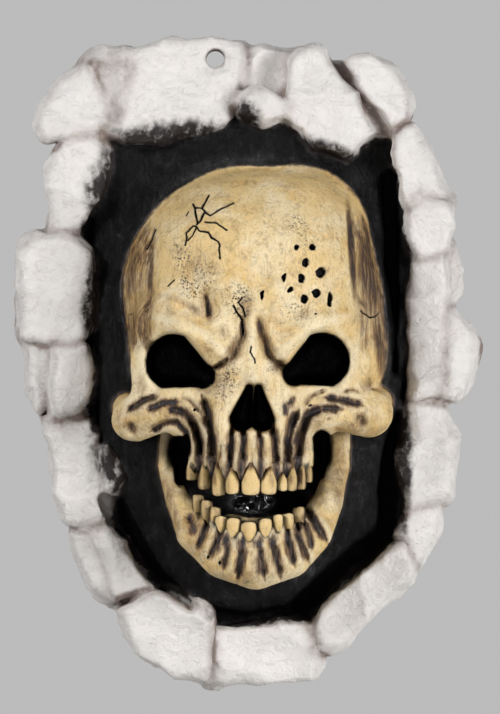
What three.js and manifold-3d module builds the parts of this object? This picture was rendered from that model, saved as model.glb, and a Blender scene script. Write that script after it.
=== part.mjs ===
// A hanging wall plaque: a skull that breaks out of a hole in a plastered wall, cast in one piece.
// Millimetres, +Z up. The flat back lies in the XZ plane and the face looks along -Y, with +X at the
// right of someone who looks at it. The origin is the centre of the hanging hole, on the back.
import * as THREE from 'three';
import { edgeTable, triTable } from 'three/addons/objects/MarchingCubes.js';
import { mergeVertices } from 'three/addons/utils/BufferGeometryUtils.js';
import Module from 'manifold-3d';

// Driving dimensions of the casting
const OVERALL_HEIGHT = 460;
const RIM_DEPTH = 50;
const HOLE_FLOOR_DEPTH = 14;
const SURROUND_DEPTH = 30;
const HANGING_HOLE_DIAMETER = 13;
const SKULL_HEIGHT = 296;
const SKULL_SET_DEPTH = 20;
const SKULL_RIGHT_OF_HOLE = 27;
const SKULL_BELOW_HOLE = 226;

// How finely the form is worked out, and how many facets it keeps
const SAMPLE_STEP = 2.4;
const FACETS_KEPT = 7350;
const FACE_CARE = 2;
const BACK_CARE = 0.01;
const LONG_EDGE_COST = 2e-4;
const HOLE_SIDES = 24;
const BACK_ALLOWANCE = 6;
const EDGE_ROOM = 8;

// The plaque is drawn on a sheet of squares, counted from the sheet's upper left corner. X runs to the
// right and Y runs down. Depths are counted towards the viewer, in squares too.
const PLAQUE_ROWS = 652;
const HANGING_HOLE_AT = { x: 215, y: 57 };
const SKULL_ROWS = 420;
const SKULL_MIDDLE = { x: 253, y: 377 };

// A sheet says where its squares lie in the plaque.
class Sheet {
  constructor({ unit, pin, right, below, depth }) {
    Object.assign(this, { unit, pin, right, below, depth });
  }

  x(squares) {
    return this.right + (squares - this.pin.x) * this.unit;
  }

  z(squares) {
    return -this.below - (squares - this.pin.y) * this.unit;
  }

  y(squares) {
    return -this.depth - squares * this.unit;
  }
}

const plaqueSheet = new Sheet({
  unit: OVERALL_HEIGHT / PLAQUE_ROWS, pin: HANGING_HOLE_AT, right: 0, below: 0, depth: 0,
});
const skullSheet = new Sheet({
  unit: SKULL_HEIGHT / SKULL_ROWS,
  pin: SKULL_MIDDLE,
  right: SKULL_RIGHT_OF_HOLE,
  below: SKULL_BELOW_HOLE,
  depth: SKULL_SET_DEPTH,
});

// The blocks of broken plaster round the hole. Corners run clockwise, and rise is a share of RIM_DEPTH.
// Lean tips a block's front face: its rise per square to the right and per square downwards.
const BLOCKS = [
  { rise: 0.84, lean: [0.1, 0.1], corners: [[57, 77], [86, 63], [113, 112], [100, 136], [42, 140], [34, 125]] },
  { rise: 0.72, lean: [0.1, 0.2], corners: [[82, 63], [98, 51], [126, 45], [126, 84], [106, 110]] },
  { rise: 0.78, lean: [0, 0.16], corners: [[122, 47], [150, 40], [205, 36], [244, 38], [242, 96], [222, 128], [150, 141], [100, 138]] },
  { rise: 0.6, lean: [0, 0.1], corners: [[236, 37], [262, 38], [288, 45], [318, 48], [300, 74], [284, 98], [236, 100]] },
  { rise: 1.12, lean: [0, 0.1], corners: [[234, 96], [252, 87], [276, 93], [293, 105], [290, 121], [264, 125], [240, 117]] },
  { rise: 1.08, lean: [0, 0.14], corners: [[286, 58], [302, 46], [322, 47], [350, 84], [382, 134], [345, 161], [312, 150], [284, 122]] },
  { rise: 0.82, lean: [0, 0.1], corners: [[328, 60], [342, 60], [392, 136], [381, 142]] },
  { rise: 0.98, lean: [-0.1, 0.1], corners: [[341, 60], [357, 52], [392, 61], [410, 85], [413, 98], [408, 119], [392, 136]] },
  { rise: 1.02, lean: [-0.2, 0], corners: [[390, 134], [414, 122], [440, 160], [450, 202], [424, 206], [406, 212], [393, 182]] },
  { rise: 1.04, lean: [-0.1, 0], corners: [[408, 206], [424, 196], [447, 199], [453, 214], [453, 254], [418, 265], [403, 236]] },
  { rise: 0.98, lean: [0, 0], corners: [[409, 258], [450, 250], [449, 325], [443, 399], [411, 399], [408, 330]] },
  { rise: 0.5, lean: [0, 0], corners: [[446, 236], [458, 242], [464, 290], [446, 308]] },
  { rise: 0.9, lean: [-0.2, 0], corners: [[446, 306], [462, 316], [474, 332], [478, 352], [473, 386], [458, 403], [440, 401]] },
  { rise: 0.9, lean: [-0.1, 0], corners: [[402, 404], [424, 399], [446, 403], [455, 434], [457, 478], [449, 501], [430, 509], [404, 511], [399, 460]] },
  { rise: 0.8, lean: [-0.1, 0], corners: [[404, 505], [441, 501], [440, 530], [424, 569], [412, 566], [400, 540]] },
  { rise: 0.92, lean: [-0.1, -0.1], corners: [[393, 546], [403, 545], [420, 570], [398, 597], [362, 631], [330, 654], [318, 650], [308, 626], [342, 580]] },
  { rise: 0.9, lean: [0, -0.2], corners: [[210, 624], [246, 622], [290, 611], [307, 618], [324, 664], [314, 680], [258, 688], [206, 687]] },
  { rise: 1, lean: [0.1, -0.2], corners: [[116, 610], [148, 591], [176, 588], [206, 606], [213, 630], [207, 687], [172, 678], [136, 659]] },
  { rise: 0.66, lean: [0.2, 0], corners: [[70, 528], [88, 518], [102, 540], [117, 603], [97, 601], [76, 572], [69, 550]] },
  { rise: 0.88, lean: [0.1, -0.1], corners: [[90, 528], [114, 522], [134, 550], [162, 586], [146, 596], [114, 602]] },
  { rise: 0.8, lean: [0.1, 0], corners: [[40, 417], [94, 416], [102, 450], [116, 520], [92, 530], [62, 524], [54, 506]] },
  { rise: 1, lean: [0, 0], corners: [[96, 452], [105, 445], [118, 460], [126, 477], [121, 494], [103, 501], [94, 480]] },
  { rise: 0.7, lean: [0.2, 0], corners: [[20, 334], [50, 328], [62, 346], [52, 392], [38, 419], [24, 388]] },
  { rise: 0.98, lean: [0, 0], corners: [[54, 344], [88, 343], [95, 362], [93, 402], [80, 418], [50, 418], [46, 400]] },
  { rise: 0.94, lean: [0.2, 0], corners: [[18, 290], [22, 250], [32, 233], [76, 233], [94, 254], [101, 284], [94, 330], [74, 346], [20, 339]] },
  { rise: 0.82, lean: [0.2, 0], corners: [[45, 146], [60, 136], [96, 132], [111, 146], [108, 180], [84, 228], [70, 237], [26, 238], [31, 202], [46, 172]] },
];
const BLOCK_SHOULDER = 20;
const BLOCK_CORNER = 5;
const BLOCK_JOIN_AT_BACK = 13;
const BLOCK_JOIN_AT_FRONT = 10;

// The dark surround: a stretched skin that fills the hole, lifts round the skull and leaves deep
// channels beside the rim at the lower right and along the bottom.
const WALL_HOLE_CORNERS = [
  [60, 104], [125, 66], [330, 66], [396, 100], [432, 180], [436, 480], [412, 556], [330, 640], [200, 665],
  [112, 600], [62, 500], [40, 300],
];
const SURROUND_CORNERS = [
  [100, 120], [395, 110], [425, 250], [404, 396], [375, 533], [350, 554], [304, 602], [250, 613], [203, 606],
  [165, 576], [128, 512], [102, 440], [88, 300],
];
const SURROUND_FOLDS = [
  [[398, 402, 24, 4], [366, 432, 34, 5], [342, 470, 40, 7]],
  [[400, 402, 32, 4], [375, 530, 32, 4], [348, 553, 34, 4], [302, 600, 34, 4]],
  [[335, 520, 44, 5], [306, 580, 40, 5], [296, 606, 34, 4]],
  [[206, 604, 32, 4], [250, 610, 34, 5], [300, 600, 32, 4]],
  [[126, 505, 26, 4], [160, 568, 30, 4], [204, 604, 32, 4]],
];
const SURROUND_EDGE = 9;
const SURROUND_LIFT = 24;
const SURROUND_LIFT_REACH = 52;
const SKULL_FOOT = { x: 254, y: 372, across: 128, down: 208 };

// The skull's masses, each [x, y, depth] with its radii [across, down, deep]. Fullness 2 is an ellipsoid
// and more is squarer. What lies deeper than the middle of a backed mass counts as level with it.
const CRANIUM = { at: [250, 300, 8], radii: [131, 122, 126], fullness: 2.2 };
const CRANIUM_MASSES = [
  { at: [298, 238, 12], radii: [67, 70, 104], blend: 24 },
  { at: [244, 248, 26], radii: [84, 76, 100], blend: 30 },
  { at: [362, 334, 4], radii: [29, 76, 66], blend: 20 },
  { at: [252, 286, 66], radii: [102, 84, 74], fullness: 2.6, blend: 16 },
  { at: [247, 362, 70], radii: [114, 56, 64], fullness: 2.3, backed: true, blend: 14 },
];
const TEMPLE_HOLLOWS = [
  { at: [104, 318, 104], radii: [36, 84, 66], blend: 16 },
  { at: [405, 314, 104], radii: [42, 88, 66], blend: 16 },
];
const FACE_MASSES = [
  { at: [254, 402, 82], radii: [66, 62, 56], fullness: 2.2, blend: 16 },
  { at: [253, 438, 86], radii: [60, 44, 58], blend: 16 },
  { at: [255, 536, 84], radii: [54, 26, 52], blend: 12 },
];

// Rolls are drawn along points [x, y, depth, radius].
const BROW_AND_FACE_ROLLS = [
  { blend: 18, roll: [[152, 322, 88, 20], [186, 326, 116, 22], [226, 352, 124, 19]] },
  { blend: 18, roll: [[352, 318, 88, 20], [318, 324, 116, 22], [284, 350, 124, 19]] },
  { blend: 10, roll: [[146, 332, 92, 13], [141, 366, 88, 10], [146, 396, 92, 14]] },
  { blend: 10, roll: [[356, 330, 92, 13], [359, 364, 88, 11], [352, 394, 92, 14]] },
  { blend: 14, roll: [[254, 322, 112, 14], [254, 350, 132, 13], [254, 374, 141, 8]] },
  { blend: 10, roll: [[236, 372, 130, 9], [220, 400, 128, 12], [222, 436, 128, 15]] },
  { blend: 10, roll: [[272, 372, 130, 9], [286, 400, 128, 12], [283, 436, 128, 15]] },
  { blend: 12, roll: [[206, 408, 114, 18], [166, 410, 104, 20], [135, 419, 86, 22]] },
  { blend: 12, roll: [[294, 408, 114, 18], [336, 410, 104, 20], [368, 414, 86, 23]] },
  { blend: 8, roll: [[180, 424, 104, 12], [194, 446, 104, 12], [200, 466, 100, 9]] },
  { blend: 8, roll: [[324, 422, 104, 12], [310, 446, 104, 12], [302, 466, 100, 9]] },
  { blend: 8, roll: [[130, 417, 84, 16], [125, 402, 20, 13]] },
  { blend: 8, roll: [[374, 410, 84, 16], [380, 398, 20, 13]] },
];
// The upper jaw's ridge and the lower jaw are walls that run back into the head.
const UPPER_JAW_ROLL = [
  [196, 456, 94, 9], [214, 460, 110, 11], [236, 462, 124, 11], [254, 460, 127, 11], [272, 464, 124, 11],
  [293, 461, 110, 11], [309, 457, 92, 9],
];
const LOWER_JAW_ROLL = [
  [168, 420, 46, 7], [166, 466, 60, 8], [178, 502, 82, 12], [196, 532, 102, 19], [224, 554, 116, 23], [255, 561, 120, 26],
  [288, 552, 116, 24], [311, 532, 102, 20], [327, 502, 82, 15], [338, 466, 60, 11], [340, 420, 46, 10],
];
const JAW_BLEND = 8;
const EYE_ROLLS = [
  [[174, 363.5, 27.5], [203, 376, 12.5]],
  [[321, 360.5, 28], [294, 373, 12.5]],
];
const EYE_BOTTOM_DEPTH = 52;
const NOSE_ROLLS = [
  [[249, 388, 6], [241.5, 418, 14.5]],
  [[258, 388, 6], [262, 418.5, 14.5]],
];
const NOSE_BOTTOM_DEPTH = 84;
const SOCKET_BLEND = 5;
const MOUTH_ROLL = [[207, 492, 7], [228, 504, 11], [256, 506, 13], [284, 504, 12], [303, 494, 7]];
const MOUTH_BOTTOM_DEPTH = 62;
const JAW_GAPS = [
  [[180, 444, 11], [180, 480, 8]],
  [[319, 438, 8], [319, 474, 8]],
];
const JAW_GAP_BOTTOM_DEPTH = 34;

// Teeth: [middle, gum line, biting edge, half width]
const UPPER_TEETH = [
  [192.5, 463, 480, 5], [205.5, 466, 489, 5.5], [218.5, 467, 495, 6.5], [232.5, 471, 493, 7], [251, 466, 494, 9],
  [269, 470, 493.5, 8], [281, 474, 490, 5], [290.5, 468, 490, 6], [299.5, 464, 489, 4.5], [306, 463, 482, 4],
];
const LOWER_TEETH = [
  [199, 509, 493, 5], [208, 518, 498.5, 5], [216.5, 516, 504, 4], [221, 532, 514, 6], [233.7, 536, 515.7, 7],
  [249.5, 538.6, 519.5, 7.6], [264.8, 535.4, 516, 6.5], [277, 531, 512, 5], [287.5, 528.4, 511.2, 5],
  [298.5, 528, 505, 5],
];
const UPPER_ARCH = { front: 141, drop: 36 };
const LOWER_ARCH = { front: 138, drop: 36 };
const ARCH_HALF_WIDTH = 56;
const TOOTH_THICKNESS = 7;
const TOOTH_FULLNESS = 1.14;
const TOOTH_SUNK = 6;
const TOOTH_ROOT = 5;
const TOOTH_SIDES = 8;
const TOOTH_OUTLINE = [[0, 0], [0.5, 0], [1, 0.5], [0.96, 0.8], [0.6, 1], [0, 1]];

// Grooves between the roots of the teeth, over the cheeks and beside the nose: points [x, y], then the
// groove's half width and its depth.
const GROOVES = [
  { half: 5, cut: 3.5, line: [[230, 436], [227, 461]] },
  { half: 5, cut: 3.5, line: [[243, 439], [241.5, 463]] },
  { half: 5, cut: 3.5, line: [[260.4, 438], [262, 461]] },
  { half: 5, cut: 3.5, line: [[274.7, 437], [277, 463]] },
  { half: 5, cut: 4.5, line: [[203, 398], [208.7, 416], [213, 436], [213, 462]] },
  { half: 5, cut: 5, line: [[171, 409], [184.7, 412], [195, 425], [200, 442], [198, 458]] },
  { half: 5, cut: 4, line: [[153, 430], [165, 421], [177, 422]] },
  { half: 5, cut: 4, line: [[128.6, 411], [143, 399], [157, 396]] },
  { half: 5, cut: 4, line: [[149, 409], [163, 403], [178, 402]] },
  { half: 5, cut: 4.5, line: [[296, 412], [288.5, 427], [286.4, 446], [289, 462]] },
  { half: 5, cut: 5, line: [[338, 408], [322, 407.6], [308, 413], [301, 434], [301.6, 454]] },
  { half: 5, cut: 4, line: [[324, 398], [344, 400], [359, 404]] },
  { half: 6, cut: 4, line: [[131, 426], [132, 427]] },
  { half: 7, cut: 4.5, line: [[359, 418], [360, 419]] },
  { half: 8, cut: 3, line: [[242, 330], [234, 354], [219, 368]] },
  { half: 8, cut: 3, line: [[263, 330], [267, 352], [279, 368]] },
  { half: 5.5, cut: 3.5, line: [[206, 530], [201, 541]] },
  { half: 5.5, cut: 3.5, line: [[217, 538], [212.5, 554]] },
  { half: 5.5, cut: 3.5, line: [[228, 541], [226.5, 561]] },
  { half: 6, cut: 4, line: [[241, 543], [240, 569]] },
  { half: 6, cut: 4, line: [[258, 544], [262.5, 573]] },
  { half: 6, cut: 4, line: [[274, 542], [276.6, 566]] },
  { half: 5.5, cut: 3.5, line: [[287, 538], [291.6, 561]] },
  { half: 5.5, cut: 3.5, line: [[298, 530], [305, 552]] },
  { half: 5.5, cut: 3.5, line: [[309, 514], [319.6, 532]] },
];
const GROOVE_FRONT = 60;

const clamp = (value, low, high) => Math.min(Math.max(value, low), high);
const smoothMin = (a, b, k) => {
  const h = Math.max(k - Math.abs(a - b), 0);
  return Math.min(a, b) - (h * h) / (4 * k);
};
const smoothMax = (a, b, k) => -smoothMin(-a, -b, k);
const smoothStep = (value) => {
  const t = clamp(value, 0, 1);
  return t * t * (3 - 2 * t);
};

// Each of these gives a function that tells how far a point of the sheet lies outside a shape.

// A roll is a chain of points, each with its place and last its radius. It is drawn in the plane of the
// sheet or in depth too, and a backed roll goes straight back as a wall.
function roll(points, { backed = false } = {}) {
  const flat = points[0].length === 3;
  const legs = points.slice(1).map((end, n) => {
    const start = flat ? [points[n][0], points[n][1], 0, points[n][2]] : points[n];
    const run = flat ? [end[0] - start[0], end[1] - start[1], 0] : [0, 1, 2].map((i) => end[i] - start[i]);
    const level = flat || backed ? 0 : run[2];
    const length = run[0] ** 2 + run[1] ** 2 + level ** 2;
    return { start, run, level, length: length || 1, swell: end.at(-1) - start[3] };
  });
  return ([x, y, depth]) => {
    let nearest = Infinity;
    for (let n = 0; n < legs.length; n += 1) {
      const { start, run, level, length, swell } = legs[n];
      const [dx, dy, dz] = [x - start[0], y - start[1], flat ? 0 : depth - start[2]];
      const t = clamp((dx * run[0] + dy * run[1] + dz * level) / length, 0, 1);
      let deep = dz - t * run[2];
      if (backed) deep = Math.max(deep, 0);
      const away = Math.sqrt((dx - t * run[0]) ** 2 + (dy - t * run[1]) ** 2 + deep * deep);
      nearest = Math.min(nearest, away - start[3] - t * swell);
    }
    return nearest;
  };
}

function mass({ at, radii, fullness = 2, backed = false }) {
  return ([x, y, depth]) => {
    const away = [x - at[0], y - at[1], backed ? Math.max(depth - at[2], 0) : depth - at[2]];
    const sum = Math.abs(away[0] / radii[0]) ** fullness + Math.abs(away[1] / radii[1]) ** fullness
      + Math.abs(away[2] / radii[2]) ** fullness;
    const share = Math.max(sum ** (1 / fullness), 1e-6);
    return Math.sqrt(away[0] ** 2 + away[1] ** 2 + away[2] ** 2) * (1 - 1 / share);
  };
}

// A convex outline with its corners clockwise on the sheet, that goes straight through.
function outline(corners, rounding) {
  const sides = corners.map(([x, y], n) => {
    const [nextX, nextY] = corners[(n + 1) % corners.length];
    const length = Math.hypot(nextX - x, nextY - y);
    return { x, y, right: (nextY - y) / length, down: -(nextX - x) / length };
  });
  return ([x, y]) => {
    let outside = -1000;
    for (let n = 0; n < sides.length; n += 1) {
      const side = sides[n];
      outside = smoothMax(outside, side.right * (x - side.x) + side.down * (y - side.y), rounding);
    }
    return outside;
  };
}

function boxOfPoints(points, margin) {
  const low = [Infinity, Infinity];
  const high = [-Infinity, -Infinity];
  points.forEach(([x, y]) => {
    low[0] = Math.min(low[0], x - margin);
    low[1] = Math.min(low[1], y - margin);
    high[0] = Math.max(high[0], x + margin);
    high[1] = Math.max(high[1], y + margin);
  });
  return { low, high };
}

// Clay holds the form as distances to its surface on a grid of samples: below zero is solid.
class Clay {
  constructor(low, high, step) {
    this.low = low;
    this.step = step;
    this.count = low.map((value, i) => Math.ceil((high[i] - value) / step) + 1);
    this.across = this.count[0];
    this.layer = this.count[0] * this.count[1];
    this.values = new Float32Array(this.layer * this.count[2]).fill(1000);
  }

  // Works a shape into the clay: distance(point) is in squares of the sheet, and rule joins it with
  // what is there, in millimetres. Only the part of the sheet inside the box is worked.
  work(sheet, box, distance, rule) {
    const { low, step, count, values } = this;
    const firstX = clamp(Math.floor((sheet.x(box.low[0]) - low[0]) / step), 0, count[0] - 1);
    const lastX = clamp(Math.ceil((sheet.x(box.high[0]) - low[0]) / step), 0, count[0] - 1);
    const firstZ = clamp(Math.floor((sheet.z(box.high[1]) - low[2]) / step), 0, count[2] - 1);
    const lastZ = clamp(Math.ceil((sheet.z(box.low[1]) - low[2]) / step), 0, count[2] - 1);
    const point = [0, 0, 0];
    for (let k = firstZ; k <= lastZ; k += 1) {
      point[1] = sheet.pin.y - (low[2] + k * step + sheet.below) / sheet.unit;
      for (let i = firstX; i <= lastX; i += 1) {
        point[0] = sheet.pin.x + (low[0] + i * step - sheet.right) / sheet.unit;
        for (let j = 0; j < count[1]; j += 1) {
          point[2] = (-(low[1] + j * step) - sheet.depth) / sheet.unit;
          const at = i + j * this.across + k * this.layer;
          values[at] = rule(values[at], distance(point) * sheet.unit, point);
        }
      }
    }
  }

  add(sheet, box, distance, blend) {
    this.work(sheet, box, distance, (there, found) => smoothMin(there, found, blend * sheet.unit));
  }

  cut(sheet, box, distance, blend) {
    this.work(sheet, box, distance, (there, found) => smoothMax(there, -found, blend * sheet.unit));
  }

  // Keeps the form off the edges of the grid, so that its skin is closed.
  closeEdges() {
    const { count, values, across, layer, step } = this;
    for (let k = 0; k < count[2]; k += 1) {
      for (let j = 0; j < count[1]; j += 1) {
        for (let i = 0; i < count[0]; i += 1) {
          const edge = [i, j, k].some((at, n) => at === 0 || at === count[n] - 1);
          if (edge) values[i + j * across + k * layer] = Math.max(values[i + j * across + k * layer], step);
        }
      }
    }
  }

  // The surface as a closed geometry.
  skin() {
    const { low, step, count, values, across, layer } = this;
    const corners = [[0, 0, 0], [1, 0, 0], [1, 1, 0], [0, 1, 0], [0, 0, 1], [1, 0, 1], [1, 1, 1], [0, 1, 1]];
    const edges = [[0, 1], [1, 2], [3, 2], [0, 3], [4, 5], [5, 6], [7, 6], [4, 7], [0, 4], [1, 5], [2, 6], [3, 7]];
    const offsets = corners.map(([i, j, k]) => i + j * across + k * layer);
    const found = new Map();
    const positions = [];
    const index = [];
    const vertexOn = (cell, cellAt, edge) => {
      const [a, b] = edges[edge];
      const direction = corners[a].findIndex((value, i) => value !== corners[b][i]);
      const key = (cell + offsets[a]) * 3 + direction;
      if (found.has(key)) return found.get(key);
      const [from, to] = [values[cell + offsets[a]], values[cell + offsets[b]]];
      const share = clamp(from / (from - to), 0.02, 0.98);
      for (let i = 0; i < 3; i += 1) {
        const steps = cellAt[i] + corners[a][i] + share * (corners[b][i] - corners[a][i]);
        positions.push(low[i] + steps * step);
      }
      found.set(key, positions.length / 3 - 1);
      return positions.length / 3 - 1;
    };
    for (let k = 0; k + 1 < count[2]; k += 1) {
      for (let j = 0; j + 1 < count[1]; j += 1) {
        for (let i = 0; i + 1 < count[0]; i += 1) {
          const cell = i + j * across + k * layer;
          let pattern = 0;
          for (let n = 0; n < 8; n += 1) {
            if (values[cell + offsets[n]] < 0) pattern += 1 << n;
          }
          if (edgeTable[pattern]) {
            const cellAt = [i, j, k];
            for (let n = pattern * 16; triTable[n] >= 0; n += 3) {
              const [first, second, third] = [triTable[n], triTable[n + 2], triTable[n + 1]];
              index.push(vertexOn(cell, cellAt, first), vertexOn(cell, cellAt, second), vertexOn(cell, cellAt, third));
            }
          }
        }
      }
    }
    return { positions: Float64Array.from(positions), index };
  }
}

// Takes facets out of a closed skin, where they tell least of its form, until so many are left.
class FacetThinner {
  constructor({ positions, index }) {
    this.positions = positions;
    this.faces = [];
    for (let n = 0; n < index.length; n += 3) this.faces.push(index.slice(n, n + 3));
    this.alive = this.faces.length;
    this.around = Array.from({ length: positions.length / 3 }, () => new Set());
    this.errors = new Float64Array((positions.length / 3) * 10);
    this.age = new Int32Array(positions.length / 3);
    this.sum = new Float64Array(10);
    this.faces.forEach((face, n) => {
      face.forEach((vertex) => this.around[vertex].add(n));
      this.addPlane(face);
    });
  }

  normal(a, b, c) {
    const p = this.positions;
    const ux = p[b * 3] - p[a * 3];
    const uy = p[b * 3 + 1] - p[a * 3 + 1];
    const uz = p[b * 3 + 2] - p[a * 3 + 2];
    const vx = p[c * 3] - p[a * 3];
    const vy = p[c * 3 + 1] - p[a * 3 + 1];
    const vz = p[c * 3 + 2] - p[a * 3 + 2];
    return [uy * vz - uz * vy, uz * vx - ux * vz, ux * vy - uy * vx];
  }

  addPlane(face) {
    const [x, y, z] = this.normal(...face);
    const area = Math.hypot(x, y, z);
    if (area < 1e-12) return;
    const plane = [x / area, y / area, z / area];
    const first = face[0] * 3;
    const depth = -this.positions[first + 1];
    const care = depth > 1.3 * RIM_DEPTH ? FACE_CARE : 1;
    const weight = area * (depth < -BACK_ALLOWANCE / 2 ? BACK_CARE : care);
    plane.push(-(plane[0] * this.positions[first] + plane[1] * this.positions[first + 1]
      + plane[2] * this.positions[first + 2]));
    face.forEach((vertex) => {
      let slot = vertex * 10;
      for (let i = 0; i < 4; i += 1) {
        for (let j = i; j < 4; j += 1) {
          this.errors[slot] += plane[i] * plane[j] * weight;
          slot += 1;
        }
      }
    });
  }

  // The place for two joined vertices, and what it costs.
  bestPlace(a, b) {
    const { errors, positions: p, sum: q } = this;
    for (let i = 0; i < 10; i += 1) q[i] = errors[a * 10 + i] + errors[b * 10 + i];
    const [ax, ay, az, bx, by, bz] = [p[a * 3], p[a * 3 + 1], p[a * 3 + 2], p[b * 3], p[b * 3 + 1], p[b * 3 + 2]];
    const length = Math.sqrt((ax - bx) ** 2 + (ay - by) ** 2 + (az - bz) ** 2);
    const best = { cost: Infinity, x: ax, y: ay, z: az };
    const offer = (x, y, z) => {
      const cost = (q[0] * x + 2 * (q[1] * y + q[2] * z + q[3])) * x + (q[4] * y + 2 * (q[5] * z + q[6])) * y
        + (q[7] * z + 2 * q[8]) * z + q[9];
      if (cost < best.cost) Object.assign(best, { cost, x, y, z });
    };
    const [middleX, middleY, middleZ] = [(ax + bx) / 2, (ay + by) / 2, (az + bz) / 2];
    const minor = q[4] * q[7] - q[5] * q[5];
    const size = q[0] * minor - q[1] * (q[1] * q[7] - q[5] * q[2]) + q[2] * (q[1] * q[5] - q[4] * q[2]);
    offer(middleX, middleY, middleZ);
    if (Math.abs(size) > 1e-6 * (q[0] + q[4] + q[7]) ** 3) {
      const x = -(q[3] * minor - q[1] * (q[6] * q[7] - q[5] * q[8]) + q[2] * (q[6] * q[5] - q[4] * q[8])) / size;
      const y = -(q[0] * (q[6] * q[7] - q[5] * q[8]) - q[3] * (q[1] * q[7] - q[5] * q[2])
        + q[2] * (q[1] * q[8] - q[6] * q[2])) / size;
      const z = -(q[0] * (q[4] * q[8] - q[6] * q[5]) - q[1] * (q[1] * q[8] - q[6] * q[2])
        + q[3] * (q[1] * q[5] - q[4] * q[2])) / size;
      const strayed = (x - middleX) ** 2 + (y - middleY) ** 2 + (z - middleZ) ** 2;
      if (strayed < 4 * length * length) offer(x, y, z);
    } else {
      offer(ax, ay, az);
      offer(bx, by, bz);
    }
    const longEdge = middleY < 0 ? LONG_EDGE_COST * length ** 4 : 1e-6 * length;
    return { cost: Math.max(best.cost, 0) + longEdge, place: [best.x, best.y, best.z] };
  }

  neighbours(vertex) {
    const found = new Set();
    this.around[vertex].forEach((n) => this.faces[n].forEach((other) => found.add(other)));
    found.delete(vertex);
    return found;
  }

  // Whether moving a vertex would turn or squash one of its facets that stays.
  spoils(vertex, gone, place) {
    const kept = [0, 1, 2].map((i) => this.positions[vertex * 3 + i]);
    let spoilt = false;
    this.around[vertex].forEach((n) => {
      if (spoilt || this.faces[n].includes(gone)) return;
      const before = this.normal(...this.faces[n]);
      place.forEach((value, i) => {
        this.positions[vertex * 3 + i] = value;
      });
      const after = this.normal(...this.faces[n]);
      kept.forEach((value, i) => {
        this.positions[vertex * 3 + i] = value;
      });
      const dot = before[0] * after[0] + before[1] * after[1] + before[2] * after[2];
      const longest = Math.max(...this.faces[n].map((other) => (other === vertex ? 0 : Math.hypot(
        this.positions[other * 3] - place[0],
        this.positions[other * 3 + 1] - place[1],
        this.positions[other * 3 + 2] - place[2],
      ))));
      const size = Math.hypot(...after);
      spoilt = dot < 0.2 * Math.hypot(...before) * size || size < 0.03 * longest * longest;
    });
    return spoilt;
  }

  join(kept, gone, place) {
    place.forEach((value, i) => {
      this.positions[kept * 3 + i] = value;
    });
    for (let i = 0; i < 10; i += 1) this.errors[kept * 10 + i] += this.errors[gone * 10 + i];
    [...this.around[gone]].forEach((n) => {
      const face = this.faces[n];
      if (face.includes(kept)) {
        face.forEach((vertex) => this.around[vertex].delete(n));
        this.faces[n] = null;
        this.alive -= 1;
      } else {
        face[face.indexOf(gone)] = kept;
        this.around[kept].add(n);
      }
    });
    this.around[gone].clear();
    this.age[kept] += 1;
    this.age[gone] = -1;
  }

  thin(target) {
    const heap = new Heap();
    const offer = (a, b) => {
      const { cost, place } = this.bestPlace(a, b);
      heap.push({ cost, place, a, b, ageA: this.age[a], ageB: this.age[b] });
    };
    this.around.forEach((_, vertex) => this.neighbours(vertex).forEach((other) => {
      if (other > vertex) offer(vertex, other);
    }));
    while (this.alive > target && heap.size) {
      const { a, b, ageA, ageB, place } = heap.pop();
      if (this.age[a] === ageA && this.age[b] === ageB) {
        const beside = this.neighbours(b);
        const shared = [...this.neighbours(a)].filter((vertex) => beside.has(vertex));
        if (shared.length === 2 && !this.spoils(a, b, place) && !this.spoils(b, a, place)) {
          this.join(a, b, place);
          this.neighbours(a).forEach((other) => offer(a, other));
        }
      }
    }
    return {
      positions: Float32Array.from(this.positions),
      index: this.faces.filter((face) => face).flat(),
    };
  }
}

// A heap that gives the cheapest entry first.
class Heap {
  constructor() {
    this.entries = [];
  }

  get size() {
    return this.entries.length;
  }

  push(entry) {
    const { entries } = this;
    let at = entries.length;
    entries.push(entry);
    while (at > 0) {
      const above = (at - 1) >> 1;
      if (entries[above].cost <= entry.cost) break;
      entries[at] = entries[above];
      at = above;
    }
    entries[at] = entry;
  }

  pop() {
    const { entries } = this;
    const first = entries[0];
    const last = entries.pop();
    if (entries.length) {
      let at = 0;
      for (;;) {
        let below = 2 * at + 1;
        if (below >= entries.length) break;
        if (below + 1 < entries.length && entries[below + 1].cost < entries[below].cost) below += 1;
        if (entries[below].cost >= last.cost) break;
        entries[at] = entries[below];
        at = below;
      }
      entries[at] = last;
    }
    return first;
  }
}

const rollBox = (points, margin) => boxOfPoints(points, margin + Math.max(...points.map((point) => point.at(-1))));
const massBox = ({ at, radii }, margin) => boxOfPoints([at], margin + Math.max(radii[0], radii[1]));

// The blocks of the rim, each with rounded shoulders and a tipped face. They grow together at the back
// and stay apart at the front.
function addRim(clay) {
  BLOCKS.forEach(({ rise, lean, corners }) => {
    const middle = [0, 1].map((i) => corners.reduce((sum, corner) => sum + corner[i], 0) / corners.length);
    const top = (rise * RIM_DEPTH) / plaqueSheet.unit;
    const sides = outline(corners, BLOCK_CORNER);
    const block = (point) => {
      const face = point[2] - top - lean[0] * (point[0] - middle[0]) - lean[1] * (point[1] - middle[1]);
      return smoothMax(sides(point), face, BLOCK_SHOULDER);
    };
    clay.work(plaqueSheet, boxOfPoints(corners, BLOCK_JOIN_AT_BACK), block, (there, found, point) => {
      const front = smoothStep(point[2] / top);
      const join = BLOCK_JOIN_AT_BACK + (BLOCK_JOIN_AT_FRONT - BLOCK_JOIN_AT_BACK) * front;
      return smoothMin(there, found, join * plaqueSheet.unit);
    });
  });
}

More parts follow.
